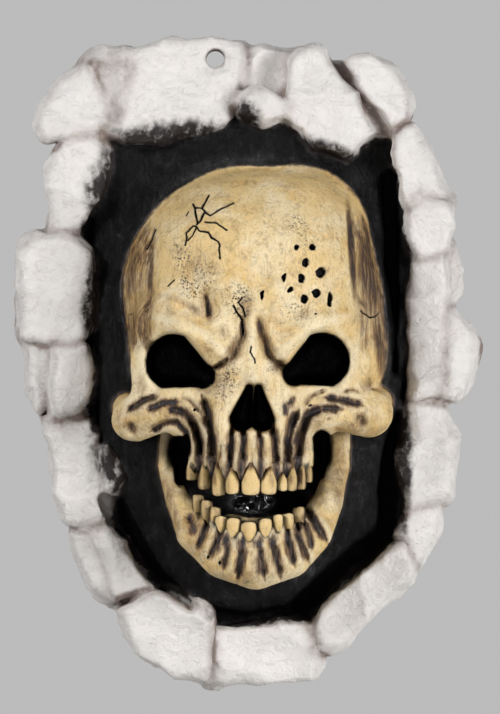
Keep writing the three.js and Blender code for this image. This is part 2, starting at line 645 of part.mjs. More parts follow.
// The floor of the hole and the dark skin stretched over it.
function addSurround(clay) {
  const floor = HOLE_FLOOR_DEPTH / plaqueSheet.unit;
  const skin = SURROUND_DEPTH / plaqueSheet.unit;
  const box = boxOfPoints(WALL_HOLE_CORNERS, SURROUND_EDGE);
  const wallHole = outline(WALL_HOLE_CORNERS, BLOCK_CORNER);
  const stretched = outline(SURROUND_CORNERS, BLOCK_CORNER);
  const { across, down } = SKULL_FOOT;
  clay.add(plaqueSheet, box, (point) => smoothMax(wallHole(point), point[2] - floor, SURROUND_EDGE / 2), SURROUND_EDGE);
  clay.add(plaqueSheet, box, (point) => {
    const beyond = Math.hypot((point[0] - SKULL_FOOT.x) / across, (point[1] - SKULL_FOOT.y) / down) - 1;
    const lift = SURROUND_LIFT * smoothStep(1 - (beyond * across) / SURROUND_LIFT_REACH);
    return smoothMax(stretched(point), point[2] - skin - lift, SURROUND_EDGE);
  }, SURROUND_EDGE);
  SURROUND_FOLDS.forEach((fold) => {
    clay.add(plaqueSheet, rollBox(fold, SURROUND_EDGE * 2), roll(fold), SURROUND_EDGE);
  });
}

// A pit goes straight in as far as its bottom and narrows a little on the way.
function cutPits(clay, pits, bottom, blend) {
  pits.forEach((points) => {
    const shaft = roll(points);
    clay.cut(skullSheet, rollBox(points, blend), (point) => {
      const narrowing = 0.06 * Math.max(150 - point[2], 0);
      return smoothMax(shaft(point) + narrowing, bottom - point[2], 12);
    }, blend);
  });
}

function cutGrooves(clay) {
  GROOVES.forEach(({ half, cut, line }) => {
    const middle = roll(line.map(([x, y]) => [x, y, 0]));
    clay.work(skullSheet, boxOfPoints(line, half), (point) => {
      const shown = smoothStep((point[2] - GROOVE_FRONT) / 20);
      return cut * shown * smoothStep(1 - middle(point) / half);
    }, (there, deeper) => there + deeper);
  });
}

function addSkull(clay) {
  const addMasses = (shapes) => shapes.forEach((shape) => {
    clay.add(skullSheet, massBox(shape, shape.blend), mass(shape), shape.blend);
  });
  addMasses([{ ...CRANIUM, blend: SURROUND_EDGE }, ...CRANIUM_MASSES]);
  TEMPLE_HOLLOWS.forEach((shape) => {
    clay.cut(skullSheet, massBox(shape, shape.blend), mass(shape), shape.blend);
  });
  addMasses(FACE_MASSES);
  BROW_AND_FACE_ROLLS.forEach(({ roll: points, blend }) => {
    clay.add(skullSheet, rollBox(points, blend), roll(points), blend);
  });
  [UPPER_JAW_ROLL, LOWER_JAW_ROLL].forEach((points) => {
    clay.add(skullSheet, rollBox(points, JAW_BLEND), roll(points, { backed: true }), JAW_BLEND);
  });
  cutPits(clay, EYE_ROLLS, EYE_BOTTOM_DEPTH, SOCKET_BLEND);
  cutPits(clay, NOSE_ROLLS, NOSE_BOTTOM_DEPTH, SOCKET_BLEND / 2);
  cutPits(clay, [MOUTH_ROLL], MOUTH_BOTTOM_DEPTH, SOCKET_BLEND / 2);
  cutPits(clay, JAW_GAPS, JAW_GAP_BOTTOM_DEPTH, SOCKET_BLEND);
  cutGrooves(clay);
}

// A tooth on its arch: narrow at its neck, widest near its biting edge, and squared in section.
function toothGeometry([middle, gum, edge, half], { front, drop }) {
  const off = (middle - SKULL_MIDDLE.x) / ARCH_HALF_WIDTH;
  const upwards = Math.sign(gum - edge);
  const neck = gum + upwards * TOOTH_ROOT;
  const profile = TOOTH_OUTLINE.map(([share, height]) => new THREE.Vector2(share, height));
  const geometry = new THREE.LatheGeometry(profile, TOOTH_SIDES, Math.PI / TOOTH_SIDES);
  const places = geometry.attributes.position;
  const squared = (value) => Math.sign(value) * Math.abs(value) ** 0.8;
  for (let n = 0; n < places.count; n += 1) {
    const across = upwards * squared(places.getX(n)) * half * TOOTH_FULLNESS;
    const depth = front - drop * off * off - TOOTH_SUNK + squared(places.getZ(n)) * TOOTH_THICKNESS
      - 2 * off * across * (drop / ARCH_HALF_WIDTH);
    const y = neck + (edge - neck) * places.getY(n);
    places.setXYZ(n, skullSheet.x(middle + across), skullSheet.y(depth), skullSheet.z(y));
  }
  return geometry;
}

function geometryOf({ positions, index }) {
  const geometry = new THREE.BufferGeometry();
  geometry.setAttribute('position', new THREE.Float32BufferAttribute(positions, 3));
  geometry.setIndex([...index]);
  return geometry;
}

function solidOf(wasm, geometry) {
  const bare = geometry.clone();
  bare.deleteAttribute('normal');
  bare.deleteAttribute('uv');
  const merged = mergeVertices(bare);
  const corners = merged.index.array;
  const kept = [];
  for (let n = 0; n < corners.length; n += 3) {
    const face = corners.slice(n, n + 3);
    if (new Set(face).size === 3) kept.push(...face);
  }
  return new wasm.Manifold(new wasm.Mesh({
    numProp: 3,
    vertProperties: Float32Array.from(merged.attributes.position.array),
    triVerts: Uint32Array.from(kept),
  }));
}

// The casting: the worked clay, cut flat along its back and drilled for its nail.
async function buildCasting() {
  const wasm = await Module();
  wasm.setup();
  const sheetBox = boxOfPoints(BLOCKS.flatMap(({ corners }) => corners), EDGE_ROOM);
  const deepest = -skullSheet.y(CRANIUM.at[2] + CRANIUM.radii[2]) + 3 * EDGE_ROOM;
  const low = [plaqueSheet.x(sheetBox.low[0]), -deepest, plaqueSheet.z(sheetBox.high[1])];
  const high = [plaqueSheet.x(sheetBox.high[0]), BACK_ALLOWANCE * 2, plaqueSheet.z(sheetBox.low[1])];
  const clay = new Clay(low, high, SAMPLE_STEP);
  addRim(clay);
  addSurround(clay);
  addSkull(clay);
  const behind = -BACK_ALLOWANCE / plaqueSheet.unit;
  clay.work(plaqueSheet, sheetBox, (point) => behind - point[2], (there, back) => Math.max(there, back));
  clay.closeEdges();
  const form = solidOf(wasm, geometryOf(new FacetThinner(clay.skin()).thin(FACETS_KEPT)));
  const teeth = [
    ...UPPER_TEETH.map((tooth) => toothGeometry(tooth, UPPER_ARCH)),
    ...LOWER_TEETH.map((tooth) => toothGeometry(tooth, LOWER_ARCH)),
  ].map((geometry) => solidOf(wasm, geometry));
  const size = 2 * OVERALL_HEIGHT;
  const wall = new THREE.BoxGeometry(size, size, size).translate(0, size / 2, 0);
  const nailWay = new THREE.CylinderGeometry(
    HANGING_HOLE_DIAMETER / 2, HANGING_HOLE_DIAMETER / 2, 4 * RIM_DEPTH, HOLE_SIDES,
  );
  const toothed = teeth.reduce((whole, tooth) => whole.add(tooth), form);
  const cast = toothed.subtract(solidOf(wasm, wall)).subtract(solidOf(wasm, nailWay));
  const mesh = cast.getMesh();
  return geometryOf({ positions: mesh.vertProperties, index: mesh.triVerts });
}

const paintedLatex = new THREE.MeshStandardMaterial({ color: 0xd8d2c8, roughness: 0.75, metalness: 0 });
const plaque = new THREE.Group();
const casting = new THREE.Mesh(await buildCasting(), paintedLatex);
casting.name = 'skull_wall_casting';
plaque.add(casting);

export default plaque;
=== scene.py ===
"""A hanging wall plaque, finished: a painted skull that breaks out of a hole in a plastered wall.

The plaque is one latex casting under three paints: white for the broken plaster round the hole, charcoal
for the skin that is stretched over the hole, and bone colours for the skull. The form is worked as clay,
skinned, cracked and pitted, set with its teeth and painted; painted shade and painted highlights are laid
into the paints' colours too. Millimetres are used up to the mesh.
"""
import logging
import math
from collections.abc import Callable, Sequence
from dataclasses import dataclass, field
from enum import Enum

import bmesh
import bpy
import numpy as np
from bpy.types import ID, Material, Mesh, Node, NodeSocket, NodeTree, Object, World
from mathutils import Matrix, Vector


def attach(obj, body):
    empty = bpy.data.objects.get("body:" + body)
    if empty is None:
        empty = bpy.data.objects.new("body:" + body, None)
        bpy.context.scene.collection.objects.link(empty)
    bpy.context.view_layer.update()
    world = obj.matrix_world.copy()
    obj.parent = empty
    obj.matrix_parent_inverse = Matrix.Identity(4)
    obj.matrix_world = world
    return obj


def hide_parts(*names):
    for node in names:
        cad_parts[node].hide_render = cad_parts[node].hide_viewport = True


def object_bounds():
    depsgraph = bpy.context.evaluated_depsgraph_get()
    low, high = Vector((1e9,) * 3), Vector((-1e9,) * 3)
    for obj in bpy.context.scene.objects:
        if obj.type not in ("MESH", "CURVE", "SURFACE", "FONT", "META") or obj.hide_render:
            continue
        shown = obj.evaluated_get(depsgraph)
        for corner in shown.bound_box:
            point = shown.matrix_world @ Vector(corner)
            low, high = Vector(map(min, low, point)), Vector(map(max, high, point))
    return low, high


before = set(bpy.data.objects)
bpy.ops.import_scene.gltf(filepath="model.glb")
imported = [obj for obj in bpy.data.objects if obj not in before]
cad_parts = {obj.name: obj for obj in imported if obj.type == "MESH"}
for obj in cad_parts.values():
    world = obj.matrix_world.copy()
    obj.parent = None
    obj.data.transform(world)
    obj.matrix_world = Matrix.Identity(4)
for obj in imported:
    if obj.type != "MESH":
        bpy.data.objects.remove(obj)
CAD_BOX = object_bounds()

LOG = logging.getLogger("skull_wall_plaque")
METRES = 0.001
PLAQUE_NODE = "skull_wall_casting"

# Driving dimensions of the casting, in millimetres
OVERALL_HEIGHT = 460.0
RIM_DEPTH = 50.0
HOLE_FLOOR_DEPTH = 14.0
SURROUND_DEPTH = 30.0
HANGING_HOLE_DIAMETER = 13.0
SKULL_HEIGHT = 296.0
SKULL_SET_DEPTH = 20.0
SKULL_RIGHT_OF_HOLE = 27.0
SKULL_BELOW_HOLE = 226.0

# Rows of squares on the sheets that the plaque and the skull are drawn on
PLAQUE_ROWS = 652
SKULL_ROWS = 420

Array = np.ndarray
Colour = tuple[float, ...]
Point = tuple[float, float]
Place = tuple[float, float, float]
Line = tuple[tuple[float, ...], ...]
Distance = Callable[[Array, Array, Array], Array]


def smooth_min(a: Array, b: Array, blend: float | Array) -> Array:
    """Joins two distances with a fillet.

    Args:
        a: The first distance.
        b: The second distance.
        blend: The fillet's reach, in the unit of the distances.

    Returns:
        The distance to both shapes together.
    """
    near = np.maximum(blend - np.abs(a - b), 0)
    return np.minimum(a, b) - near * near / (4 * blend)


def smooth_max(a: Array, b: Array, blend: float | Array) -> Array:
    """Keeps what two distances share, with a fillet, as smooth_min joins them."""
    return -smooth_min(-a, -b, blend)


def eased(value: Array | float) -> Array:
    """Eases from 0 to 1 while value goes from 0 to 1."""
    t = np.clip(value, 0, 1)
    return t * t * (3 - 2 * t)


def placed(name: str, data: ID) -> Object:
    """A new object of this data in the scene.

    Args:
        name: The object's name.
        data: Its mesh, lamp or camera.

    Returns:
        The object, at the origin.
    """
    made = bpy.data.objects.new(name, data)
    bpy.context.scene.collection.objects.link(made)
    return made


@dataclass(frozen=True)
class Sheet:
    """A sheet of squares that a shape is drawn on, and where it lies in the plaque.

    Squares run to the right, down and towards the viewer.
    """

    unit: float
    pin: Point
    right: float
    below: float
    depth: float

    def columns(self, x: Array) -> Array:
        """Columns of squares at these X places."""
        return self.pin[0] + (x - self.right) / self.unit

    def rows(self, z: Array) -> Array:
        """Rows of squares at these Z places."""
        return self.pin[1] - (z + self.below) / self.unit

    def depths(self, y: Array) -> Array:
        """Depths in squares at these Y places."""
        return (-y - self.depth) / self.unit

    def squares(self, points: Array) -> tuple[Array, Array, Array]:
        """Columns, rows and depths of points given in millimetres, one point a row."""
        return self.columns(points[:, 0]), self.rows(points[:, 2]), self.depths(points[:, 1])

    def place(self, column: float, row: float, depth: float) -> Vector:
        """The place in millimetres of a point of the sheet."""
        return Vector((
            self.right + (column - self.pin[0]) * self.unit,
            -self.depth - depth * self.unit,
            -self.below - (row - self.pin[1]) * self.unit,
        ))


PLAQUE_SHEET = Sheet(OVERALL_HEIGHT / PLAQUE_ROWS, (215, 57), 0, 0, 0)
SKULL_SHEET = Sheet(
    SKULL_HEIGHT / SKULL_ROWS, (253, 377), SKULL_RIGHT_OF_HOLE, SKULL_BELOW_HOLE, SKULL_SET_DEPTH,
)


@dataclass(frozen=True)
class Reach:
    """The box of a sheet that a shape can touch, in squares."""

    low: Place
    high: Place

    @staticmethod
    def around(points: Sequence[Sequence[float]], margin: float, deep: bool = False) -> "Reach":
        """Boxes a few points.

        Args:
            points: The points, each with its column and row, and its depth where deep is set.
            margin: What is left round them.
            deep: Whether the box ends in depth too, instead of going straight through.

        Returns:
            The box.
        """
        low = [min(point[i] for point in points) - margin for i in range(3 if deep else 2)]
        high = [max(point[i] for point in points) + margin for i in range(3 if deep else 2)]
        if not deep:
            low, high = [*low, -math.inf], [*high, math.inf]
        return Reach(tuple(low), tuple(high))


@dataclass(frozen=True)
class Mass:
    """A rounded mass. Fullness 2 is an ellipsoid and more is squarer.

    What lies deeper than the middle of a backed mass counts as level with it.
    """

    at: Place
    radii: Place
    blend: float
    fullness: float = 2.0
    backed: bool = False

    def distance(self, column: Array, row: Array, depth: Array) -> Array:
        """How far points lie outside the mass, in squares.

        Args:
            column, row, depth: Where the points lie, in squares.

        Returns:
            The distances, below 0 inside.
        """
        away = [column - self.at[0], row - self.at[1], depth - self.at[2]]
        if self.backed:
            away[2] = np.maximum(away[2], 0)
        if self.fullness == 2:
            share = np.sqrt(sum((away[i] / self.radii[i]) ** 2 for i in range(3)))
        else:
            total = sum(np.abs(away[i] / self.radii[i]) ** self.fullness for i in range(3))
            share = total ** (1 / self.fullness)
        length = np.sqrt(away[0] ** 2 + away[1] ** 2 + away[2] ** 2)
        return length * (1 - 1 / np.maximum(share, 1e-6))

    def reach(self) -> Reach:
        """The box that the mass and its fillet can touch.

        Returns:
            The box.
        """
        box = [self.radii[i] + self.blend for i in range(3)]
        low = [self.at[i] - box[i] for i in range(3)]
        high = [self.at[i] + box[i] for i in range(3)]
        return Reach((low[0], low[1], -math.inf if self.backed else low[2]), tuple(high))


@dataclass(frozen=True)
class Roll:
    """A chain of points, each with its radius last, drawn in the plane of the sheet or in depth too.

    A backed roll goes straight back as a wall.
    """

    points: Line
    blend: float = 1.0
    backed: bool = False

    def distance(self, column: Array, row: Array, depth: Array) -> Array:
        """How far points lie outside the roll, in squares.

        Args:
            column, row, depth: Where the points lie, in squares.

        Returns:
            The distances, below 0 inside.
        """
        flat = len(self.points[0]) == 3
        nearest = None
        for start, end in zip(self.points, self.points[1:]):
            run = [end[i] - start[i] for i in range(2)] + [0 if flat else end[2] - start[2]]
            level = 0 if flat or self.backed else run[2]
            length = (run[0] ** 2 + run[1] ** 2 + level**2) or 1
            dx, dy = column - start[0], row - start[1]
            dz = 0 if flat else depth - start[2]
            share = np.clip((dx * run[0] + dy * run[1] + dz * level) / length, 0, 1)
            away = (dx - share * run[0]) ** 2 + (dy - share * run[1]) ** 2
            if not flat:
                deep = dz - share * run[2]
                away = away + (np.maximum(deep, 0) if self.backed else deep) ** 2
            found = np.sqrt(away) - start[-1] - share * (end[-1] - start[-1])
            nearest = found if nearest is None else np.minimum(nearest, found)
        return nearest

    def reach(self, margin: float | None = None) -> Reach:
        """The box that the roll and its fillet can touch.

        Args:
            margin: What is left round the roll, where it isn't the fillet's reach.

        Returns:
            The box.
        """
        room = (self.blend if margin is None else margin) + max(point[-1] for point in self.points)
        deep = len(self.points[0]) == 4
        box = Reach.around(self.points, room, deep)
        return Reach((*box.low[:2], -math.inf), box.high) if self.backed else box


@dataclass(frozen=True)
class Outline:
    """A convex outline that goes straight through, with its corners clockwise on the sheet."""

    corners: Line
    rounding: float

    def distance(self, column: Array, row: Array, depth: Array) -> Array:
        """How far points lie outside the outline, in squares.

        Args:
            column, row, depth: Where the points lie, in squares.

        Returns:
            The distances, below 0 inside.
        """
        outside = np.full(np.broadcast(column, row).shape, -1000.0, np.float32)
        for n, (x, y) in enumerate(self.corners):
            next_x, next_y = self.corners[(n + 1) % len(self.corners)]
            length = math.hypot(next_x - x, next_y - y)
            right, down = (next_y - y) / length, -(next_x - x) / length
            outside = smooth_max(outside, right * (column - x) + down * (row - y), self.rounding)
        return outside


@dataclass(frozen=True)
class Grain:
    """Smooth noise that is the same every time."""

    size: Place
    seed: int
    cells: int = 32

    def at(self, points: Array) -> Array:
        """The noise at points.

        Args:
            points: The points in millimetres, one a row.

        Returns:
            A value from -1 to 1 for each point.
        """
        table = np.random.default_rng(self.seed).uniform(-1, 1, (self.cells,) * 3)
        scaled = points / np.array(self.size)
        cell = np.floor(scaled).astype(int)
        share = eased(scaled - cell)
        total = np.zeros(len(points))
        for corner in np.ndindex(2, 2, 2):
            weight = np.prod(np.where(corner, share, 1 - share), axis=1)
            index = (cell + np.array(corner)) % self.cells
            total += weight * table[index[:, 0], index[:, 1], index[:, 2]]
        return total


@dataclass(frozen=True)
class Chips:
    """Shallow scallops, such as a blow leaves in plaster, with edges between them."""

    size: float
    dish: float
    seed: int
    cells: int = 24

    def at(self, points: Array) -> Array:
        """How high the chipped face stands at points given in millimetres, in millimetres.

        Args:
            points: The points in millimetres, one a row.

        Returns:
            A height for each point.
        """
        chance = np.random.default_rng(self.seed)
        middles = chance.uniform(0.15, 0.85, (self.cells,) * 3 + (3,))
        tilts = chance.uniform(-1, 1, (self.cells,) * 3 + (3,))
        levels = chance.uniform(-0.5, 0.5, (self.cells,) * 3)
        scaled = points / self.size
        cell = np.floor(scaled).astype(int)
        lowest = np.full(len(points), 10.0)
        for step in np.ndindex(3, 3, 3):
            near = cell + np.array(step) - 1
            index = tuple((near % self.cells).T)
            away = scaled - near - middles[index]
            height = levels[index] + 0.9 * np.einsum("ij,ij->i", away, tilts[index])
            lowest = np.minimum(lowest, height + 4 * np.einsum("ij,ij->i", away, away))
        return self.dish * (lowest - 0.3)


def graded_axis(start: float, bands: Sequence[Point]) -> Array:
    """Samples along an axis that are closer together in some bands.

    Args:
        start: Where the axis starts.
        bands: For each band, where it ends and the step in it.

    Returns:
        The samples' places.
    """
    parts = []
    for end, step in bands:
        count = max(round((end - start) / step), 1)
        parts.append(np.linspace(start, end, count, endpoint=False))
        start = end
    return np.concatenate([*parts, [start]])


class Clay:
    """The form, as distances to its surface on a grid that is finer over the skull: below 0 is solid."""

    def __init__(self, xs: Array, ys: Array, zs: Array) -> None:
        """Starts with no form on the grid of these samples."""
        self.axes = (xs, ys, zs)
        self.values = np.full((len(xs), len(ys), len(zs)), 100.0, np.float32)

    def work(self, sheet: Sheet, reach: Reach, distance: Distance,
             rule: Distance) -> None:
        """Works a shape into the form.

        Args:
            sheet: The sheet that the shape is drawn on.
            reach: The box of the sheet that is worked.
            distance: The shape's distance in squares.
            rule: What becomes of the distances there, in millimetres. It is given what is there, the
                shape's distance and the depth in squares.
        """
        xs, ys, zs = self.axes
        corners = [sheet.place(*reach.low), sheet.place(*reach.high)]
        spans = []
        for axis, samples in enumerate((xs, ys, zs)):
            low, high = sorted(corner[axis] for corner in corners)
            first, last = np.searchsorted(samples, low), np.searchsorted(samples, high, "right")
            spans.append(slice(int(first), int(last)))
        part = self.values[tuple(spans)]
        column = sheet.columns(xs[spans[0]]).astype(np.float32)[:, None, None]
        depth = sheet.depths(ys[spans[1]]).astype(np.float32)[None, :, None]
        row = sheet.rows(zs[spans[2]]).astype(np.float32)[None, None, :]
        part[...] = rule(part, distance(column, row, depth) * sheet.unit, depth)

    def add(self, sheet: Sheet, reach: Reach, distance: Distance, blend: float) -> None:
        """Joins a shape on, with a fillet of so many squares."""
        fillet = blend * sheet.unit
        self.work(sheet, reach, distance, lambda there, found, _: smooth_min(there, found, fillet))

    def cut(self, sheet: Sheet, reach: Reach, distance: Distance, blend: float) -> None:
        """Cuts a shape out, with a rounding of so many squares."""
        fillet = blend * sheet.unit
        self.work(sheet, reach, distance, lambda there, found, _: smooth_max(there, -found, fillet))

    def finish(self, hole_radius: float) -> None:
        """Cuts the back flat, drills the hanging hole and keeps the form off the edges of the grid.

        Args:
            hole_radius: The hanging hole's radius in millimetres.
        """
        xs, ys, zs = self.axes
        nail = hole_radius - np.hypot(xs[:, None], zs[None, :])
        self.values = np.maximum(self.values, ys[None, :, None])
        self.values = np.maximum(self.values, nail[:, None, :]).astype(np.float32)
        for axis in range(3):
            for edge in (0, -1):
                side = self.values.swapaxes(0, axis)[edge]
                np.maximum(side, 1.0, out=side)

    def distance_at(self, points: Array) -> Array:
        """The distance at points between the samples, in millimetres.

        Args:
            points: The points in millimetres, one a row.

        Returns:
            The distances, below 0 inside.
        """
        index, share = [], []
        for axis, samples in enumerate(self.axes):
            at = np.clip(np.searchsorted(samples, points[:, axis]) - 1, 0, len(samples) - 2)
            index.append(at)
            share.append(np.clip((points[:, axis] - samples[at]) / (samples[at + 1] - samples[at]), 0, 1))
        total = np.zeros(len(points))
        for corner in np.ndindex(2, 2, 2):
            weight = np.ones(len(points))
            for axis in range(3):
                weight = weight * (share[axis] if corner[axis] else 1 - share[axis])
            total += weight * self.values[tuple(index[axis] + corner[axis] for axis in range(3))]
        return total

    def skin(self) -> tuple[Array, Array]:
        """Skins the form.

        Returns:
            The skin's points in millimetres and its four-sided faces, which look outwards.
        """
        values, solid = self.values, self.values < 0
        shape = tuple(count - 1 for count in values.shape)
        corners = list(np.ndindex(2, 2, 2))
        filled = np.zeros(shape, np.uint8)
        for i, j, k in corners:
            filled += solid[i:i + shape[0], j:j + shape[1], k:k + shape[2]]
        cells = np.nonzero((filled > 0) & (filled < 8))
        number = np.full(shape, -1, np.int32)
        number[cells] = np.arange(len(cells[0]))
        total, hits = np.zeros((len(cells[0]), 3)), np.zeros(len(cells[0]))
        for start in corners:
            for axis in range(3):
                if start[axis]:
                    continue
                end = tuple(1 if i == axis else start[i] for i in range(3))
                here = tuple(cells[i] + start[i] for i in range(3))
                there = tuple(cells[i] + end[i] for i in range(3))
                a, b = values[here], values[there]
                crossed = (a < 0) != (b < 0)
                share = np.where(crossed, a / np.where(crossed, a - b, 1), 0)
                for i in range(3):
                    from_place, to_place = self.axes[i][here[i]], self.axes[i][there[i]]
                    total[:, i] += crossed * (from_place + share * (to_place - from_place))
                hits += crossed
        faces = [self._faces_across(axis, solid, number) for axis in range(3)]
        return total / hits[:, None], np.concatenate(faces)

    @staticmethod
    def _faces_across(axis: int, solid: Array, number: Array) -> Array:
        """The faces that cross the grid's edges along one axis.

        Args:
            axis: The axis that the edges run along.
            solid: Whether each sample is inside the form.
            number: The number of each cell's point of the skin.

        Returns:
            Four points' numbers for each face.
        """
        order = [axis, (axis + 1) % 3, (axis + 2) % 3]
        solid, number = solid.transpose(order), number.transpose(order)
        inside, beyond = solid[:-1, 1:-1, 1:-1], solid[1:, 1:-1, 1:-1]
        faces = []
        for leaves in (True, False):
            at = np.nonzero(inside & ~beyond if leaves else ~inside & beyond)
            ring = [(0, 0), (1, 0), (1, 1), (0, 1)] if leaves else [(0, 0), (0, 1), (1, 1), (1, 0)]
            faces.append(np.stack([number[at[0], at[1] + j, at[2] + k] for j, k in ring], axis=1))
        return np.concatenate(faces)


@dataclass(frozen=True)
class Patch:
    """A soft-edged oval on a sheet, with its turn in degrees."""

    at: Point
    radii: Point
    turn: float = 0
    strength: float = 1

    def share(self, column: Array, row: Array) -> Array:
        """How much of the patch there is at points, from 0 to its strength.

        Args:
            column, row: Where the points lie, in squares.

        Returns:
            A share for each point.
        """
        turn = math.radians(self.turn)
        dx, dy = column - self.at[0], row - self.at[1]
        across = (dx * math.cos(turn) + dy * math.sin(turn)) / self.radii[0]
        down = (dy * math.cos(turn) - dx * math.sin(turn)) / self.radii[1]
        return self.strength * eased(1.3 - np.hypot(across, down))


def patch_table(*rows: tuple[float, ...]) -> tuple[Patch, ...]:
    """Patches, each from its column and row, its two radii, and its turn and strength where it has them."""
    return tuple(Patch(row[:2], row[2:4], *row[4:]) for row in rows)


def strongest(found: Sequence[Patch], column: Array, row: Array) -> Array:
    """The share at points of the patch that is strongest there."""
    return np.maximum.reduce([patch.share(column, row) for patch in found])


@dataclass(frozen=True)
class Block:
    """A block of broken plaster.

    Rise is a share of the rim's depth, and lean tips the front face: its rise for each square to the
    right and for each square down. Corners run clockwise on the plaque's sheet.
    """

    rise: float
    lean: Point
    corners: Line


def block_table(*rows: tuple[float, ...]) -> tuple[Block, ...]:
    """Blocks, each from its rise, its two leans and the columns and rows of its corners."""
    return tuple(Block(row[0], row[1:3], tuple(zip(row[3::2], row[4::2]))) for row in rows)


@dataclass(frozen=True)
class PlasterRim:
    """The blocks of broken plaster round the hole. They grow together at the back."""

    shoulder: float = 12
    corner: float = 5
    join_at_back: float = 13
    join_at_front: float = 4.5
    seam_width: float = 11
    # Where the black creeps onto the blocks' faces: black paint, with painted shade under the top blocks and
    # down the inner walls.
    overspray_and_shade_patches: tuple[Patch, ...] = patch_table(
        (170, 142, 80, 30), (102, 180, 26, 66), (246, 116, 18, 24), (108, 490, 28, 70, -10),
        (94, 300, 18, 70), (255, 614, 60, 16), (330, 156, 54, 18, 20), (404, 470, 12, 90),
    )
    blocks: tuple[Block, ...] = block_table(
        (0.84, 0.1, 0.1, 57, 77, 86, 63, 113, 112, 100, 136, 42, 140, 34, 125),
        (0.72, 0.1, 0.2, 82, 63, 98, 51, 126, 45, 126, 84, 106, 110),
        (0.78, 0, 0.16, 122, 47, 150, 40, 205, 36, 244, 38, 242, 96, 222, 128, 150, 141, 100, 138),
        (0.6, 0, 0.1, 236, 37, 262, 38, 288, 45, 318, 48, 300, 74, 284, 98, 236, 100),
        (1.12, 0, 0.1, 234, 96, 252, 87, 276, 93, 293, 105, 290, 121, 264, 125, 240, 117),
        (1.08, 0, 0.14, 286, 58, 302, 46, 322, 47, 350, 84, 382, 134, 345, 161, 312, 150, 284, 122),
        (0.82, 0, 0.1, 328, 60, 342, 60, 392, 136, 381, 142),
        (0.98, -0.1, 0.1, 341, 60, 357, 52, 392, 61, 410, 85, 413, 98, 408, 119, 392, 136),
        (1.02, -0.2, 0, 390, 134, 414, 122, 440, 160, 450, 202, 424, 206, 406, 212, 393, 182),
        (1.04, -0.1, 0, 408, 206, 424, 196, 447, 199, 453, 214, 453, 254, 418, 265, 403, 236),
        (0.98, 0, 0, 409, 258, 450, 250, 449, 325, 443, 399, 411, 399, 408, 330),
        (0.5, 0, 0, 446, 236, 458, 242, 464, 290, 446, 308),
        (0.9, -0.2, 0, 446, 306, 462, 316, 474, 332, 478, 352, 473, 386, 458, 403, 440, 401),
        (0.9, -0.1, 0, 402, 404, 424, 399, 446, 403, 455, 434, 457, 478, 449, 501, 430, 509, 404, 511,
         399, 460),
        (0.8, -0.1, 0, 404, 505, 441, 501, 440, 530, 424, 569, 412, 566, 400, 540),
        (0.92, -0.1, -0.1, 393, 546, 403, 545, 420, 570, 398, 597, 362, 631, 330, 654, 318, 650, 308,
         626, 342, 580),
        (0.9, 0, -0.2, 210, 624, 246, 622, 290, 611, 307, 618, 324, 664, 314, 680, 258, 688, 206, 687),
        (1, 0.1, -0.2, 116, 610, 148, 591, 176, 588, 206, 606, 213, 630, 207, 687, 172, 678, 136, 659),
        (0.66, 0.2, 0, 70, 528, 88, 518, 102, 540, 117, 603, 97, 601, 76, 572, 69, 550),
        (0.88, 0.1, -0.1, 90, 528, 114, 522, 134, 550, 162, 586, 146, 596, 114, 602),
        (0.8, 0.1, 0, 40, 417, 94, 416, 102, 450, 116, 520, 92, 530, 62, 524, 54, 506),
        (1, 0, 0, 96, 452, 105, 445, 118, 460, 126, 477, 121, 494, 103, 501, 94, 480),
        (0.7, 0.2, 0, 20, 334, 50, 328, 62, 346, 52, 392, 38, 419, 24, 388),
        (0.98, 0, 0, 54, 344, 88, 343, 95, 362, 93, 402, 80, 418, 50, 418, 46, 400),
        (0.94, 0.2, 0, 18, 290, 22, 250, 32, 233, 76, 233, 94, 254, 101, 284, 94, 330, 74, 346, 20, 339),
        (0.82, 0.2, 0, 45, 146, 60, 136, 96, 132, 111, 146, 108, 180, 84, 228, 70, 237, 26, 238, 31, 202,
         46, 172),
    )

    def top_of(self, block: Block) -> float:
        """How far a block rises, in squares."""
        return block.rise * RIM_DEPTH / PLAQUE_SHEET.unit

    def distance_of(self, block: Block) -> Distance:
        """The distance function of one block.

        Args:
            block: The block.

        Returns:
            The function.
        """
        middle = [sum(corner[i] for corner in block.corners) / len(block.corners) for i in range(2)]
        sides = Outline(block.corners, self.corner)
        top = self.top_of(block)

        def distance(column: Array, row: Array, depth: Array) -> Array:
            """How far points lie outside the block, in squares."""
            face = depth - top - block.lean[0] * (column - middle[0]) - block.lean[1] * (row - middle[1])
            return smooth_max(sides.distance(column, row, depth), face, self.shoulder)

        return distance

    def work(self, clay: Clay) -> None:
        """Builds the rim up in the clay.

        Args:
            clay: The clay that is worked.
        """
        for block in self.blocks:
            top = self.top_of(block)

            def join(there: Array, found: Array, depth: Array, top: float = top) -> Array:
                """Joins the block to what is there, more tightly towards the front."""
                tighter = (self.join_at_front - self.join_at_back) * eased(depth / top)
                return smooth_min(there, found, (self.join_at_back + tighter) * PLAQUE_SHEET.unit)

            reach = Reach.around(block.corners, self.join_at_back)
            clay.work(PLAQUE_SHEET, reach, self.distance_of(block), join)

    def distance_at(self, points: Array) -> Array:
        """How far points lie outside the rim, in millimetres.

        Args:
            points: The points in millimetres, one a row.

        Returns:
            The distances, below 0 inside.
        """
        squares = PLAQUE_SHEET.squares(points)
        nearest = np.minimum.reduce([self.distance_of(block)(*squares) for block in self.blocks])
        return nearest * PLAQUE_SHEET.unit

    def overspray_and_shade_at(self, points: Array) -> Array:
        """How much black creeps onto the blocks' faces at points, from 0 to 1: black paint, with painted
        shade.
        """
        column, row, _ = PLAQUE_SHEET.squares(points)
        return strongest(self.overspray_and_shade_patches, column, row)

